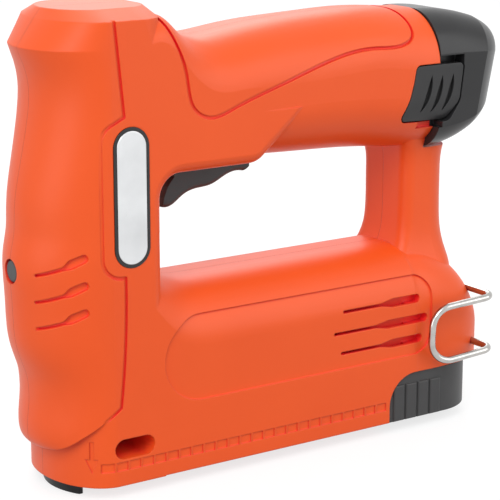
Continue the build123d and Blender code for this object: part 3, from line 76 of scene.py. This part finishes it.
def make_surface_grain():
    """Shared grain of a moulded, rolled or cast face: a slow drift, a fine height and a softened normal."""
    group = bpy.data.node_groups.new("surface_grain", "ShaderNodeTree")
    for name in ("Fine Scale", "Broad Scale", "Relief"):
        group.interface.new_socket(name, in_out="INPUT", socket_type="NodeSocketFloat")
    group.interface.new_socket("Base Normal", in_out="INPUT", socket_type="NodeSocketVector")
    for name in ("Fine", "Broad"):
        group.interface.new_socket(name, in_out="OUTPUT", socket_type="NodeSocketFloat")
    group.interface.new_socket("Normal", in_out="OUTPUT", socket_type="NodeSocketVector")
    put = group.nodes.new
    link = group.links.new
    given = put("NodeGroupInput")
    result = put("NodeGroupOutput")
    place = put("ShaderNodeTexCoord")
    for out, scale, detail in (("Fine", "Fine Scale", FINE_DETAIL), ("Broad", "Broad Scale", BROAD_DETAIL)):
        noise = put("ShaderNodeTexNoise")
        noise.name = out
        noise.inputs["Detail"].default_value = detail
        link(place.outputs["Object"], noise.inputs["Vector"])
        link(given.outputs[scale], noise.inputs["Scale"])
        link(noise.outputs["Fac"], result.inputs[out])
    relief = put("ShaderNodeBump")
    relief.inputs["Distance"].default_value = GRAIN_DEPTH
    link(given.outputs["Relief"], relief.inputs["Strength"])
    link(group.nodes["Fine"].outputs["Fac"], relief.inputs["Height"])
    link(given.outputs["Base Normal"], relief.inputs["Normal"])
    link(relief.outputs["Normal"], result.inputs["Normal"])
    return group


surface_grain = make_surface_grain()


def grained(name, dark, light, rough, metallic=0.0, relief=0.05, fine=2500.0, broad=40.0,
            spread=0.06, edge=0.0, shine=0.5):
    """Material whose colour drifts from dark to light, with a roughness and a relief that follow its grain.

    Edge is the radius in millimetres to which a moulded piece's edges look rounded, and shine is how
    strongly a plastic reflects.
    """
    material = bpy.data.materials.new(name)
    material.use_nodes = True
    tree = material.node_tree
    put = tree.nodes.new
    link = tree.links.new
    shader = tree.nodes["Principled BSDF"]
    grain = put("ShaderNodeGroup")
    grain.node_tree = surface_grain
    grain.name = "grain"
    grain.inputs["Fine Scale"].default_value = fine
    grain.inputs["Broad Scale"].default_value = broad
    grain.inputs["Relief"].default_value = relief
    if edge:
        rounding = put("ShaderNodeBevel")
        rounding.samples = EDGE_SAMPLES
        rounding.inputs["Radius"].default_value = edge * MM
        link(rounding.outputs["Normal"], grain.inputs["Base Normal"])
    else:
        facing = put("ShaderNodeNewGeometry")
        link(facing.outputs["Normal"], grain.inputs["Base Normal"])
    tint = put("ShaderNodeValToRGB")
    tint.name = "tint"
    for stop, position, colour in zip(tint.color_ramp.elements, TINT_STOPS, (dark, light)):
        stop.position = position
        stop.color = (*colour, 1)
    link(grain.outputs["Broad"], tint.inputs["Fac"])
    link(tint.outputs["Color"], shader.inputs["Base Color"])
    gloss = put("ShaderNodeMapRange")
    gloss.name = "gloss"
    gloss.inputs["To Min"].default_value = rough - spread
    gloss.inputs["To Max"].default_value = rough + spread
    link(grain.outputs["Fine"], gloss.inputs["Value"])
    link(gloss.outputs["Result"], shader.inputs["Roughness"])
    link(grain.outputs["Normal"], shader.inputs["Normal"])
    shader.inputs["Metallic"].default_value = metallic
    shader.inputs["Specular IOR Level"].default_value = shine
    return material


def dress(material, *names):
    """Puts a material on CAD nodes that keep their own shape."""
    for name in names:
        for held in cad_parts[name].material_slots:
            held.material = material


turned_steel = grained("turned_steel", (0.42, 0.42, 0.44), (0.56, 0.56, 0.57), rough=0.32, metallic=1.0,
                       relief=0.1, fine=1800, broad=120)
zinc_plate = grained("zinc_plate", (0.60, 0.60, 0.62), (0.70, 0.70, 0.71), rough=0.36, metallic=1.0,
                     relief=0.08, fine=900, broad=60)
sintered_bronze = grained("sintered_bronze", (0.36, 0.20, 0.08), (0.47, 0.28, 0.12), rough=0.45, metallic=1.0,
                          relief=0.2, fine=2600, broad=90)
magnet_grey = grained("magnet_grey", (0.05, 0.05, 0.055), (0.09, 0.09, 0.095), rough=0.6, metallic=0.4,
                      relief=0.2, fine=1600, broad=80)
switch_black = grained("switch_black", (0.014, 0.014, 0.015), (0.024, 0.024, 0.026), rough=0.36, relief=0.06)
dress(turned_steel, "motor_rotor", "sun_gear", "gearbox_ring", "carrier_first", "output_shaft", "lift_gear")
dress(turned_steel, *[f"planet_{stage}{place}" for stage in "12" for place in "abc"])
dress(zinc_plate, "motor_can", "gearbox_cover")
dress(sintered_bronze, "output_bush")
dress(magnet_grey, "motor_magnets")
dress(switch_black, "motor_end")


# Hammer: a milled steel block with a rack on its side and the driver blade in its foot, on two
# ground rods. Two music-wire springs push it down from a plate under a web of the case, and a
# rubber bumper stops it.

TURN_STEPS = 32
SPRING_WIRE_SIDES = 12
HAMMER_WIRE = 2.0 * MM
HAMMER_TURNS = 12


def new_tree(name, *inputs):
    """Geometry node tree with the named float inputs, its material and a geometry in and out."""
    tree = bpy.data.node_groups.new(name, "GeometryNodeTree")
    tree.interface.new_socket("Geometry", in_out="INPUT", socket_type="NodeSocketGeometry")
    for label in inputs:
        tree.interface.new_socket(label, in_out="INPUT", socket_type="NodeSocketFloat")
    tree.interface.new_socket("Material", in_out="INPUT", socket_type="NodeSocketMaterial")
    tree.interface.new_socket("Geometry", in_out="OUTPUT", socket_type="NodeSocketGeometry")
    return tree, tree.nodes.new("NodeGroupInput"), tree.nodes.new("NodeGroupOutput")


def close_tree(tree, given, result, shape):
    """Ends a tree: real geometry with its material."""
    real = tree.nodes.new("GeometryNodeRealizeInstances")
    painted = tree.nodes.new("GeometryNodeSetMaterial")
    tree.links.new(shape, real.inputs["Geometry"])
    tree.links.new(real.outputs["Geometry"], painted.inputs["Geometry"])
    tree.links.new(given.outputs["Material"], painted.inputs["Material"])
    tree.links.new(painted.outputs["Geometry"], result.inputs["Geometry"])


def grow(name, tree, guide, material, **sizes):
    """Plain mesh object that a tree makes from a guide mesh."""
    holder = bpy.data.objects.new(name + "_guide", guide)
    bpy.context.collection.objects.link(holder)
    grower = holder.modifiers.new("grow", "NODES")
    grower.node_group = tree
    values = {label.replace("_", " ").title(): size for label, size in sizes.items()}
    values["Material"] = material
    for item in tree.interface.items_tree:
        if item.in_out == "INPUT" and item.name in values:
            grower[item.identifier] = values[item.name]
    shown = holder.evaluated_get(bpy.context.evaluated_depsgraph_get())
    mesh = bpy.data.meshes.new_from_object(shown)
    holder.modifiers.remove(grower)
    bpy.data.objects.remove(holder)
    piece = bpy.data.objects.new(name, mesh)
    bpy.context.collection.objects.link(piece)
    return piece


def make_spring_tree():
    """Coil spring from each point of a guide; a tilt lays the springs along the tool."""
    tree, given, result = new_tree("coil_spring", "Coil Radius", "Wire Radius", "Length", "Turns", "Tilt")
    put = tree.nodes.new
    link = tree.links.new
    helix = put("GeometryNodeCurveSpiral")
    helix.inputs["Resolution"].default_value = TURN_STEPS
    section = put("GeometryNodeCurvePrimitiveCircle")
    section.inputs["Resolution"].default_value = SPRING_WIRE_SIDES
    wire = put("GeometryNodeCurveToMesh")
    wire.inputs["Fill Caps"].default_value = True
    smooth = put("GeometryNodeSetShadeSmooth")
    lean = put("ShaderNodeCombineXYZ")
    many = put("GeometryNodeInstanceOnPoints")
    for end in ("Start Radius", "End Radius"):
        link(given.outputs["Coil Radius"], helix.inputs[end])
    link(given.outputs["Length"], helix.inputs["Height"])
    link(given.outputs["Turns"], helix.inputs["Rotations"])
    link(given.outputs["Wire Radius"], section.inputs["Radius"])
    link(helix.outputs["Curve"], wire.inputs["Curve"])
    link(section.outputs["Curve"], wire.inputs["Profile Curve"])
    link(wire.outputs["Mesh"], smooth.inputs["Geometry"])
    link(given.outputs["Tilt"], lean.inputs["Y"])
    link(given.outputs["Geometry"], many.inputs["Points"])
    link(smooth.outputs["Geometry"], many.inputs["Instance"])
    link(lean.outputs["Vector"], many.inputs["Rotation"])
    close_tree(tree, given, result, many.outputs["Instances"])
    return tree


spring_tree = make_spring_tree()
spring_wire = grained("spring_wire", (0.20, 0.20, 0.21), (0.30, 0.30, 0.31), rough=0.30, metallic=1.0,
                      fine=1500, broad=200)


def fit_spring(name, held, wire, turns, upright, body):
    """Coil springs in the room of their CAD nodes, carried with their body."""
    along, across = (2, 0) if upright else (0, 2)
    rooms = [[Vector(corner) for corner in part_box(node)] for node in held]
    near, far = rooms[0]
    outer = far[across] - near[across]
    length = far[along] - near[along]
    starts = []
    for low, high in rooms:
        apart = high.y - low.y - outer
        for side in ((-0.5, 0.5) if apart > outer / 2 else (0,)):
            start = (low + high) / 2
            start.y += side * apart
            start[along] = low[along] + wire / 2
            starts.append(start)
    guide = bpy.data.meshes.new(name + "_places")
    guide.from_pydata(starts, [], [])
    spring = grow(name, spring_tree, guide, spring_wire, coil_radius=(outer - wire) / 2, wire_radius=wire / 2,
                  length=length - wire, turns=float(turns), tilt=0.0 if upright else math.radians(90))
    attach(spring, body)
    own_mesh(spring)
    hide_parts(*held)


fit_spring("hammer_spring_pair", ("hammer_spring_left", "hammer_spring_right"), HAMMER_WIRE, HAMMER_TURNS,
           upright=True, body="case")
bumper_rubber = grained("bumper_rubber", (0.010, 0.010, 0.010), (0.020, 0.020, 0.020), rough=0.75, relief=0.2)
dress(turned_steel, "hammer", "driver_blade", "guide_rods")
dress(zinc_plate, "spring_plate")
dress(bumper_rubber, "hammer_bumper")


# Nose: the steel guide block that the driver and staples run in, and the blackened safety contact
# in front of it, which two small springs hold down on its switch.

YOKE_WIRE = 0.5 * MM
YOKE_TURNS = 5

black_oxide = grained("black_oxide", (0.010, 0.010, 0.011), (0.022, 0.022, 0.023), rough=0.38, metallic=0.6,
                      relief=0.1, fine=1500, broad=150)
dress(turned_steel, "nose_block")
dress(black_oxide, "safety_yoke")
fit_spring("safety_spring_pair", ("yoke_springs",), YOKE_WIRE, YOKE_TURNS,
           upright=True, body="case")
dress(switch_black, "safety_switch")


# Magazine: a folded steel channel fixed in the base, and the drawer that slides out of it with the
# feed rail, rod, spring and pusher. The drawer's grip is charcoal plastic with moulded finger ribs.

FEED_WIRE = 0.6 * MM
FEED_TURNS = 18

charcoal_plastic = grained("charcoal_plastic", (0.040, 0.040, 0.041), (0.052, 0.052, 0.053), rough=0.44,
                           relief=0.10, fine=3000, broad=60, edge=0.35, shine=0.35)
dress(zinc_plate, "magazine_channel", "feed_rail")
dress(turned_steel, "feed_rod")
dress(black_oxide, "pusher")
fit_spring("staple_feed_spring", ("feed_spring",), FEED_WIRE, FEED_TURNS,
           upright=False, body="drawer")
dress(charcoal_plastic, "magazine_grip")


# Electrics: a printed control board, two bought-in switches and the terminal block that the battery
# slides onto, with pressed brass blades and clips. All of them sit in slots moulded in the case.

board_green = grained("board_green", (0.010, 0.070, 0.030), (0.016, 0.095, 0.042), rough=0.35,
                      relief=0.1, fine=900, broad=300)
contact_brass = grained("contact_brass", (0.60, 0.42, 0.16), (0.70, 0.52, 0.22), rough=0.28, metallic=1.0,
                        relief=0.03, fine=1200, broad=150)
dress(board_green, "control_board")
dress(switch_black, "trigger_switch", "button_switch", "terminal_block")
dress(contact_brass, "terminal_blades", "battery_clips")


# Case: two halves moulded in bright orange plastic with a fine spark texture, joined on the middle
# plane. The joint shows as a hair line where the halves meet. Narrow grooves and other hollows get a
# painted red glow: there the colour is mixed towards a crimson that stands in for light bouncing
# between orange walls.

CASE_DEEP = (0.84, 0.090, 0.010)
CASE_BRIGHT = (0.88, 0.100, 0.012)
CASE_JOINT = (0.60, 0.058, 0.008)
# painted glow: a crimson that stands in for light bouncing between orange walls in hollows
CASE_PAINTED_GLOW = (0.92, 0.020, 0.030)
GROOVE_SAMPLES = 8
GROOVE_REACH = 10 * MM
GROOVE_OPEN = 0.65      # share of its surroundings that a spot sees
GROOVE_CLOSED = 0.25
JOINT_HALF = 0.16 * MM

case_orange = grained("case_orange", CASE_DEEP, CASE_BRIGHT, rough=0.42, relief=0.07, fine=2200, broad=18,
                      edge=0.6, shine=0.4)
case_tree = case_orange.node_tree
case_place = case_tree.nodes.new("ShaderNodeTexCoord")
case_axes = case_tree.nodes.new("ShaderNodeSeparateXYZ")
case_tree.links.new(case_place.outputs["Object"], case_axes.inputs["Vector"])
from_joint = case_tree.nodes.new("ShaderNodeMath")
from_joint.operation = "ABSOLUTE"
case_tree.links.new(case_axes.outputs["Y"], from_joint.inputs[0])
joint_line = case_tree.nodes.new("ShaderNodeMapRange")
joint_line.inputs["From Min"].default_value = 0.5 * JOINT_HALF
joint_line.inputs["From Max"].default_value = JOINT_HALF
joint_line.inputs["To Min"].default_value = 1.0
joint_line.inputs["To Max"].default_value = 0.0
case_tree.links.new(from_joint.outputs["Value"], joint_line.inputs["Value"])
# Painted glow: ambient occlusion finds the hollows and grooves, and there the colour is mixed towards the
# painted crimson
open_sky = case_tree.nodes.new("ShaderNodeAmbientOcclusion")
open_sky.samples = GROOVE_SAMPLES
open_sky.inputs["Distance"].default_value = GROOVE_REACH
painted_glow_mask = case_tree.nodes.new("ShaderNodeMapRange")
painted_glow_mask.inputs["From Min"].default_value = GROOVE_CLOSED
painted_glow_mask.inputs["From Max"].default_value = GROOVE_OPEN
painted_glow_mask.inputs["To Min"].default_value = 1.0
painted_glow_mask.inputs["To Max"].default_value = 0.0
case_tree.links.new(open_sky.outputs["AO"], painted_glow_mask.inputs["Value"])
case_colour = case_tree.nodes["tint"].outputs["Color"]
for mask, tone in ((painted_glow_mask, CASE_PAINTED_GLOW), (joint_line, CASE_JOINT)):
    toned = case_tree.nodes.new("ShaderNodeMix")
    toned.data_type = "RGBA"
    toned.inputs["B"].default_value = (*tone, 1)
    case_tree.links.new(mask.outputs["Result"], toned.inputs["Factor"])
    case_tree.links.new(case_colour, toned.inputs["A"])
    case_colour = toned.outputs["Result"]
case_tree.links.new(case_colour, case_tree.nodes["Principled BSDF"].inputs["Base Color"])
dress(case_orange, "housing_left", "housing_right")


# Badge: a bare plate of brushed aluminium in a glossy black rim, let into each side of the column.
# The brushing runs along the plate's length.

BRUSH_SCALE = (6000, 6000, 60)
BRUSH_DETAIL = 2.0

badge_black = grained("badge_black", (0.006, 0.006, 0.007), (0.012, 0.012, 0.013), rough=0.20,
                      relief=0.02, edge=0.3)
badge_silver = grained("badge_silver", (0.58, 0.59, 0.60), (0.70, 0.71, 0.72), rough=0.30, metallic=1.0,
                       relief=0.02, fine=1200, broad=60)
brush_tree = badge_silver.node_tree
brush_place = brush_tree.nodes.new("ShaderNodeTexCoord")
brush_stretch = brush_tree.nodes.new("ShaderNodeMapping")
brush_stretch.inputs["Scale"].default_value = BRUSH_SCALE
brush_lines = brush_tree.nodes.new("ShaderNodeTexNoise")
brush_lines.inputs["Scale"].default_value = 1.0
brush_lines.inputs["Detail"].default_value = BRUSH_DETAIL
brush_tree.links.new(brush_place.outputs["Object"], brush_stretch.inputs["Vector"])
brush_tree.links.new(brush_stretch.outputs["Vector"], brush_lines.inputs["Vector"])
brush_tree.links.new(brush_lines.outputs["Fac"], brush_tree.nodes["gloss"].inputs["Value"])
dress(badge_silver, "badge_plate_left", "badge_plate_right")
dress(badge_black, "badge_rim_left", "badge_rim_right")


# Trigger and front button: the trigger is moulded in charcoal plastic and hinges on a steel pin;
# the button is near black and slides in its bore. A small coil spring returns each.

TRIGGER_WIRE = 0.7 * MM
TRIGGER_TURNS = 4
BUTTON_WIRE = 0.5 * MM
BUTTON_TURNS = 3

dress(charcoal_plastic, "trigger")
dress(turned_steel, "trigger_pin")
dress(switch_black, "front_button")
fit_spring("trigger_return_spring", ("trigger_spring",), TRIGGER_WIRE, TRIGGER_TURNS,
           upright=True, body="case")
fit_spring("button_return_spring", ("button_spring",), BUTTON_WIRE, BUTTON_TURNS,
           upright=False, body="case")


# Battery pack: case, rounded rear cap and two side latches in black plastic with a slight gloss,
# and three cells in plain shrink sleeves. It slides off the handle's rear end.

pack_black = grained("pack_black", (0.014, 0.014, 0.015), (0.020, 0.020, 0.021), rough=0.30,
                     relief=0.08, fine=2600, broad=50, edge=0.4, shine=0.35)
latch_grey = grained("latch_grey", (0.020, 0.020, 0.021), (0.027, 0.027, 0.028), rough=0.38,
                     relief=0.10, fine=3000, broad=60, edge=0.3, shine=0.35)
cell_sleeve = grained("cell_sleeve", (0.02, 0.09, 0.25), (0.03, 0.11, 0.30), rough=0.3, relief=0.02)
dress(pack_black, "battery_case", "battery_cap")
dress(latch_grey, "battery_latch_left", "battery_latch_right")
dress(cell_sleeve, "battery_cells")


# Belt hook: one length of bright plated steel wire, bent cold round formers and pressed into two
# holes in the tail of the case.

HOOK_WIRE_R = 1.45 * MM
HOOK_WIRE_SIDES = 28
HOOK_BEND_STEPS = 14
HOOK_ROUTE = (
    # place in millimetres, bend radius
    ((183.4, -6.05, 51.7), 0),
    ((183.4, -36.5, 51.7), 4),
    ((155.4, -31.5, 48.7), 9),
    ((154.4, -31.5, 25.4), 8.5),
    ((183.4, -36.5, 29.2), 4),
    ((183.4, -6.05, 29.2), 0),
)


def make_wire_tree():
    """Round wire along a guide's edges, with each corner bent to the guide's own radius."""
    tree, given, result = new_tree("bent_wire", "Wire Radius")
    put = tree.nodes.new
    link = tree.links.new
    path = put("GeometryNodeMeshToCurve")
    bend = put("GeometryNodeInputNamedAttribute")
    bend.data_type = "FLOAT"
    bend.inputs["Name"].default_value = "bend"
    corner = put("GeometryNodeFilletCurve")
    corner.mode = "POLY"
    corner.inputs["Count"].default_value = HOOK_BEND_STEPS
    section = put("GeometryNodeCurvePrimitiveCircle")
    section.inputs["Resolution"].default_value = HOOK_WIRE_SIDES
    wire = put("GeometryNodeCurveToMesh")
    wire.inputs["Fill Caps"].default_value = True
    smooth = put("GeometryNodeSetShadeSmooth")
    link(given.outputs["Geometry"], path.inputs["Mesh"])
    link(path.outputs["Curve"], corner.inputs["Curve"])
    link(bend.outputs["Attribute"], corner.inputs["Radius"])
    link(given.outputs["Wire Radius"], section.inputs["Radius"])
    link(corner.outputs["Curve"], wire.inputs["Curve"])
    link(section.outputs["Curve"], wire.inputs["Profile Curve"])
    link(wire.outputs["Mesh"], smooth.inputs["Geometry"])
    close_tree(tree, given, result, smooth.outputs["Geometry"])
    return tree


plated_wire = grained("plated_wire", (0.42, 0.41, 0.39), (0.52, 0.51, 0.49), rough=0.16, metallic=1.0,
                      relief=0.02, fine=700, broad=250, spread=0.04)
hook_guide = bpy.data.meshes.new("hook_route")
hook_guide.from_pydata([Vector(place) * MM for place, bend in HOOK_ROUTE],
                       [(i, i + 1) for i in range(len(HOOK_ROUTE) - 1)], [])
hook_bend = hook_guide.attributes.new("bend", "FLOAT", "POINT")
hook_bend.data.foreach_set("value", [bend * MM for place, bend in HOOK_ROUTE])
hook = grow("belt_hook_wire", make_wire_tree(), hook_guide, plated_wire, wire_radius=HOOK_WIRE_R)
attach(hook, "case")
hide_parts("belt_hook")


# Case screws: eight zinc-plated pan heads with a cross recess and a coarse thread, put in from the
# right and sunk in deep bores.

SCREW_HEAD_R = 2.9 * MM
SCREW_HEAD_HEIGHT = 2.2 * MM
SCREW_SHANK_R = 1.3 * MM
THREAD_R = 0.2 * MM
THREAD_TURNS = 14
THREAD_SHARE = 0.9    # of the shank's length
RIM_SHARE = 0.55      # of the head's height
CROWN_SHARE = 0.34    # of the head's radius
CROSS_SPAN = 1.1      # of the head's radius
CROSS_WIDTH = 0.28    # of the head's radius
CROSS_LIFT = 1.05     # of the head's height
ROUND_SIDES = 40
CROWN_RINGS = 16
THREAD_SIDES = 4
THREAD_STEPS = 16
SCREW_SEAT = 20       # seats, reaches and places in millimetres
STRUT_SEAT = 8
SCREW_REACH = 14
STRUT_REACH = 9
SCREW_PLACES = ((22, 166), (22, 120), (22, 78), (38, 132), (42, 34), (118, 30), (176, 40))
STRUT_PLACE = (168, 92)


def make_screw_tree():
    """Pan head screw at each point of a guide, its shank as long as the guide's own length there."""
    sizes = ("Head Radius", "Head Height", "Shank Radius", "Thread Radius")
    tree, given, result = new_tree("case_screw", *sizes)
    put = tree.nodes.new
    link = tree.links.new

    def placed(shape, length=None):
        """The shape at each point, turned to the tool's right and stretched to a length."""
        many = put("GeometryNodeInstanceOnPoints")
        many.inputs["Rotation"].default_value = (math.radians(-90), 0, 0)
        link(given.outputs["Geometry"], many.inputs["Points"])
        link(shape, many.inputs["Instance"])
        if length:
            stretch = put("ShaderNodeCombineXYZ")
            stretch.inputs["X"].default_value = 1
            stretch.inputs["Y"].default_value = 1
            link(length, stretch.inputs["Z"])
            link(stretch.outputs["Vector"], many.inputs["Scale"])
        return many.outputs["Instances"]

    def times(value, factor):
        """A size that is a fixed share of another."""
        share = put("ShaderNodeMath")
        share.operation = "MULTIPLY"
        share.inputs[1].default_value = factor
        link(value, share.inputs[0])
        return share.outputs["Value"]

    def moved(shape, height):
        """The shape lifted along its own axis."""
        shift = put("GeometryNodeTransform")
        lift = put("ShaderNodeCombineXYZ")
        link(height, lift.inputs["Z"])
        link(lift.outputs["Vector"], shift.inputs["Translation"])
        link(shape, shift.inputs["Geometry"])
        return shift.outputs["Geometry"]

    def disc(radius, depth):
        """Round bar that stands on its own middle."""
        bar = put("GeometryNodeMeshCylinder")
        bar.inputs["Vertices"].default_value = ROUND_SIDES
        link(radius, bar.inputs["Radius"])
        link(depth, bar.inputs["Depth"])
        return bar.outputs["Mesh"]

    head_r = given.outputs["Head Radius"]
    head_h = given.outputs["Head Height"]
    rim = moved(disc(head_r, times(head_h, RIM_SHARE)), times(head_h, RIM_SHARE / 2))
    crown = put("GeometryNodeMeshUVSphere")
    crown.inputs["Segments"].default_value = ROUND_SIDES
    crown.inputs["Rings"].default_value = CROWN_RINGS
    link(head_r, crown.inputs["Radius"])
    flat = put("GeometryNodeTransform")
    flat.inputs["Scale"].default_value = (1, 1, CROWN_SHARE)
    link(crown.outputs["Mesh"], flat.inputs["Geometry"])
    dome = moved(flat.outputs["Geometry"], times(head_h, RIM_SHARE))
    head = put("GeometryNodeMeshBoolean")
    head.operation = "UNION"
    link(rim, head.inputs["Mesh 2"])
    link(dome, head.inputs["Mesh 2"])
    cross = put("GeometryNodeMeshBoolean")
    cross.operation = "DIFFERENCE"
    link(head.outputs["Mesh"], cross.inputs["Mesh 1"])
    for along, over in ((CROSS_SPAN, CROSS_WIDTH), (CROSS_WIDTH, CROSS_SPAN)):
        slot = put("GeometryNodeMeshCube")
        size = put("ShaderNodeCombineXYZ")
        link(times(head_r, along), size.inputs["X"])
        link(times(head_r, over), size.inputs["Y"])
        link(head_h, size.inputs["Z"])
        link(size.outputs["Vector"], slot.inputs["Size"])
        link(moved(slot.outputs["Mesh"], times(head_h, CROSS_LIFT)), cross.inputs["Mesh 2"])
    length = put("GeometryNodeInputNamedAttribute")
    length.data_type = "FLOAT"
    length.inputs["Name"].default_value = "length"
    unit = put("ShaderNodeValue")
    unit.outputs["Value"].default_value = 1
    one = unit.outputs["Value"]
    shank = moved(disc(given.outputs["Shank Radius"], one), times(one, -0.5))
    turns = put("GeometryNodeCurveSpiral")
    turns.inputs["Resolution"].default_value = THREAD_STEPS
    turns.inputs["Rotations"].default_value = THREAD_TURNS
    turns.inputs["Height"].default_value = -THREAD_SHARE
    link(given.outputs["Shank Radius"], turns.inputs["Start Radius"])
    link(given.outputs["Shank Radius"], turns.inputs["End Radius"])
    rod = put("GeometryNodeCurvePrimitiveCircle")
    rod.inputs["Resolution"].default_value = THREAD_SIDES
    link(given.outputs["Thread Radius"], rod.inputs["Radius"])
    joined = put("GeometryNodeJoinGeometry")
    link(placed(cross.outputs["Mesh"]), joined.inputs["Geometry"])
    link(placed(shank, length.outputs["Attribute"]), joined.inputs["Geometry"])
    stretched = put("GeometryNodeRealizeInstances")
    link(placed(turns.outputs["Curve"], length.outputs["Attribute"]), stretched.inputs["Geometry"])
    thread = put("GeometryNodeCurveToMesh")
    thread.inputs["Fill Caps"].default_value = True
    link(stretched.outputs["Geometry"], thread.inputs["Curve"])
    link(rod.outputs["Curve"], thread.inputs["Profile Curve"])
    link(thread.outputs["Mesh"], joined.inputs["Geometry"])
    close_tree(tree, given, result, joined.outputs["Geometry"])
    return tree


strut_x, strut_z = STRUT_PLACE
screw_seats = [(x, SCREW_SEAT, z) for x, z in SCREW_PLACES] + [(strut_x, STRUT_SEAT, strut_z)]
screw_lengths = [SCREW_SEAT + SCREW_REACH] * len(SCREW_PLACES) + [STRUT_SEAT + STRUT_REACH]
screw_guide = bpy.data.meshes.new("screw_places")
screw_guide.from_pydata([Vector(seat) * MM for seat in screw_seats], [], [])
screw_length = screw_guide.attributes.new("length", "FLOAT", "POINT")
screw_length.data.foreach_set("value", [length * MM for length in screw_lengths])
screws = grow("case_screw_set", make_screw_tree(), screw_guide, zinc_plate, head_radius=SCREW_HEAD_R,
              head_height=SCREW_HEAD_HEIGHT, shank_radius=SCREW_SHANK_R, thread_radius=THREAD_R)
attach(screws, "case")
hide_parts("case_screws")


# Studio: a pale floor under the tool, a white surround and soft lamps at a plain level. The floor
# and surround look white to the eye and in reflections, and the floor keeps the tool's shadow.

FLOOR_Z = cad_box[0][2]
FLOOR_SIZE = 8
FLOOR_GLOW = 0.75
FLOOR_GREY = 0.3
FLOOR_ROUGH = 0.9
SURROUND_LIGHT = 0.6
SURROUND_SEEN = 1.0
LAMPS = (
    # name, place and aim in metres, size, watts
    ("key_lamp", (-0.9, -0.9, 1.3), (0.06, 0, 0.08), 1.0, 14),
    ("fill_lamp", (0.9, -1.2, 0.7), (0.09, 0, 0.08), 1.2, 8),
    ("rim_lamp", (0.5, 1.1, 1.0), (0.09, 0, 0.1), 1.0, 8),
    ("front_lamp", (-1.3, -0.3, 0.3), (0.02, 0, 0.08), 1.0, 5),
)
CAMERA_PLACE = (-0.32348, -0.60760, 0.25988)
CAMERA_RISE = 14        # degrees above level
CAMERA_TURN = -34       # degrees round from the left side
CAMERA_LENS = 136.8     # millimetres, as the sensor's width is
CAMERA_SENSOR = 36


def seen_directly(tree):
    """Mask of the rays by which the eye, gloss or glass sees a surface."""
    path = tree.nodes.new("ShaderNodeLightPath")
    most = path.outputs["Is Camera Ray"]
    for kind in ("Is Glossy Ray", "Is Transmission Ray"):
        either = tree.nodes.new("ShaderNodeMath")
        either.operation = "MAXIMUM"
        tree.links.new(most, either.inputs[0])
        tree.links.new(path.outputs[kind], either.inputs[1])
        most = either.outputs["Value"]
    return most


floor_sheet = bpy.data.meshes.new("studio_floor")
half = FLOOR_SIZE / 2
floor_corners = [(x * half, y * half, FLOOR_Z) for x, y in ((-1, -1), (1, -1), (1, 1), (-1, 1))]
floor_sheet.from_pydata(floor_corners, [], [(0, 1, 2, 3)])
floor = bpy.data.objects.new("studio_floor", floor_sheet)
bpy.context.collection.objects.link(floor)
floor_white = bpy.data.materials.new("studio_white")
floor_white.use_nodes = True
floor_tree = floor_white.node_tree
floor_shader = floor_tree.nodes["Principled BSDF"]
floor_shader.inputs["Base Color"].default_value = (FLOOR_GREY, FLOOR_GREY, FLOOR_GREY, 1)
floor_shader.inputs["Roughness"].default_value = FLOOR_ROUGH
floor_shader.inputs["Specular IOR Level"].default_value = 0.0
floor_glow = floor_tree.nodes.new("ShaderNodeMath")
floor_glow.operation = "MULTIPLY"
floor_glow.inputs[1].default_value = FLOOR_GLOW
floor_tree.links.new(seen_directly(floor_tree), floor_glow.inputs[0])
floor_shader.inputs["Emission Color"].default_value = (1, 1, 1, 1)
floor_tree.links.new(floor_glow.outputs["Value"], floor_shader.inputs["Emission Strength"])
floor_sheet.materials.append(floor_white)

world = bpy.data.worlds.new("studio_surround")
world.use_nodes = True
surround = world.node_tree.nodes["Background"]
surround.inputs["Color"].default_value = (1, 1, 1, 1)
surround_level = world.node_tree.nodes.new("ShaderNodeMapRange")
surround_level.inputs["To Min"].default_value = SURROUND_LIGHT
surround_level.inputs["To Max"].default_value = SURROUND_SEEN
world.node_tree.links.new(seen_directly(world.node_tree), surround_level.inputs["Value"])
world.node_tree.links.new(surround_level.outputs["Result"], surround.inputs["Strength"])
bpy.context.scene.world = world


def soft_lamp(name, place, aim, size, power):
    """Square soft lamp that points at a spot."""
    lamp = bpy.data.lights.new(name, "AREA")
    lamp.size = size
    lamp.energy = power
    holder = bpy.data.objects.new(name, lamp)
    bpy.context.collection.objects.link(holder)
    holder.location = place
    holder.rotation_euler = (Vector(aim) - Vector(place)).to_track_quat("-Z", "Y").to_euler()


for lamp in LAMPS:
    soft_lamp(*lamp)

camera = bpy.data.cameras.new("photo_camera")
camera.lens = CAMERA_LENS
camera.sensor_width = CAMERA_SENSOR
eye = bpy.data.objects.new("photo_camera", camera)
bpy.context.collection.objects.link(eye)
eye.location = CAMERA_PLACE
eye.rotation_euler = (math.radians(90 - CAMERA_RISE), 0, math.radians(CAMERA_TURN))
bpy.context.scene.camera = eye
bpy.context.scene.view_settings.view_transform = "Standard"
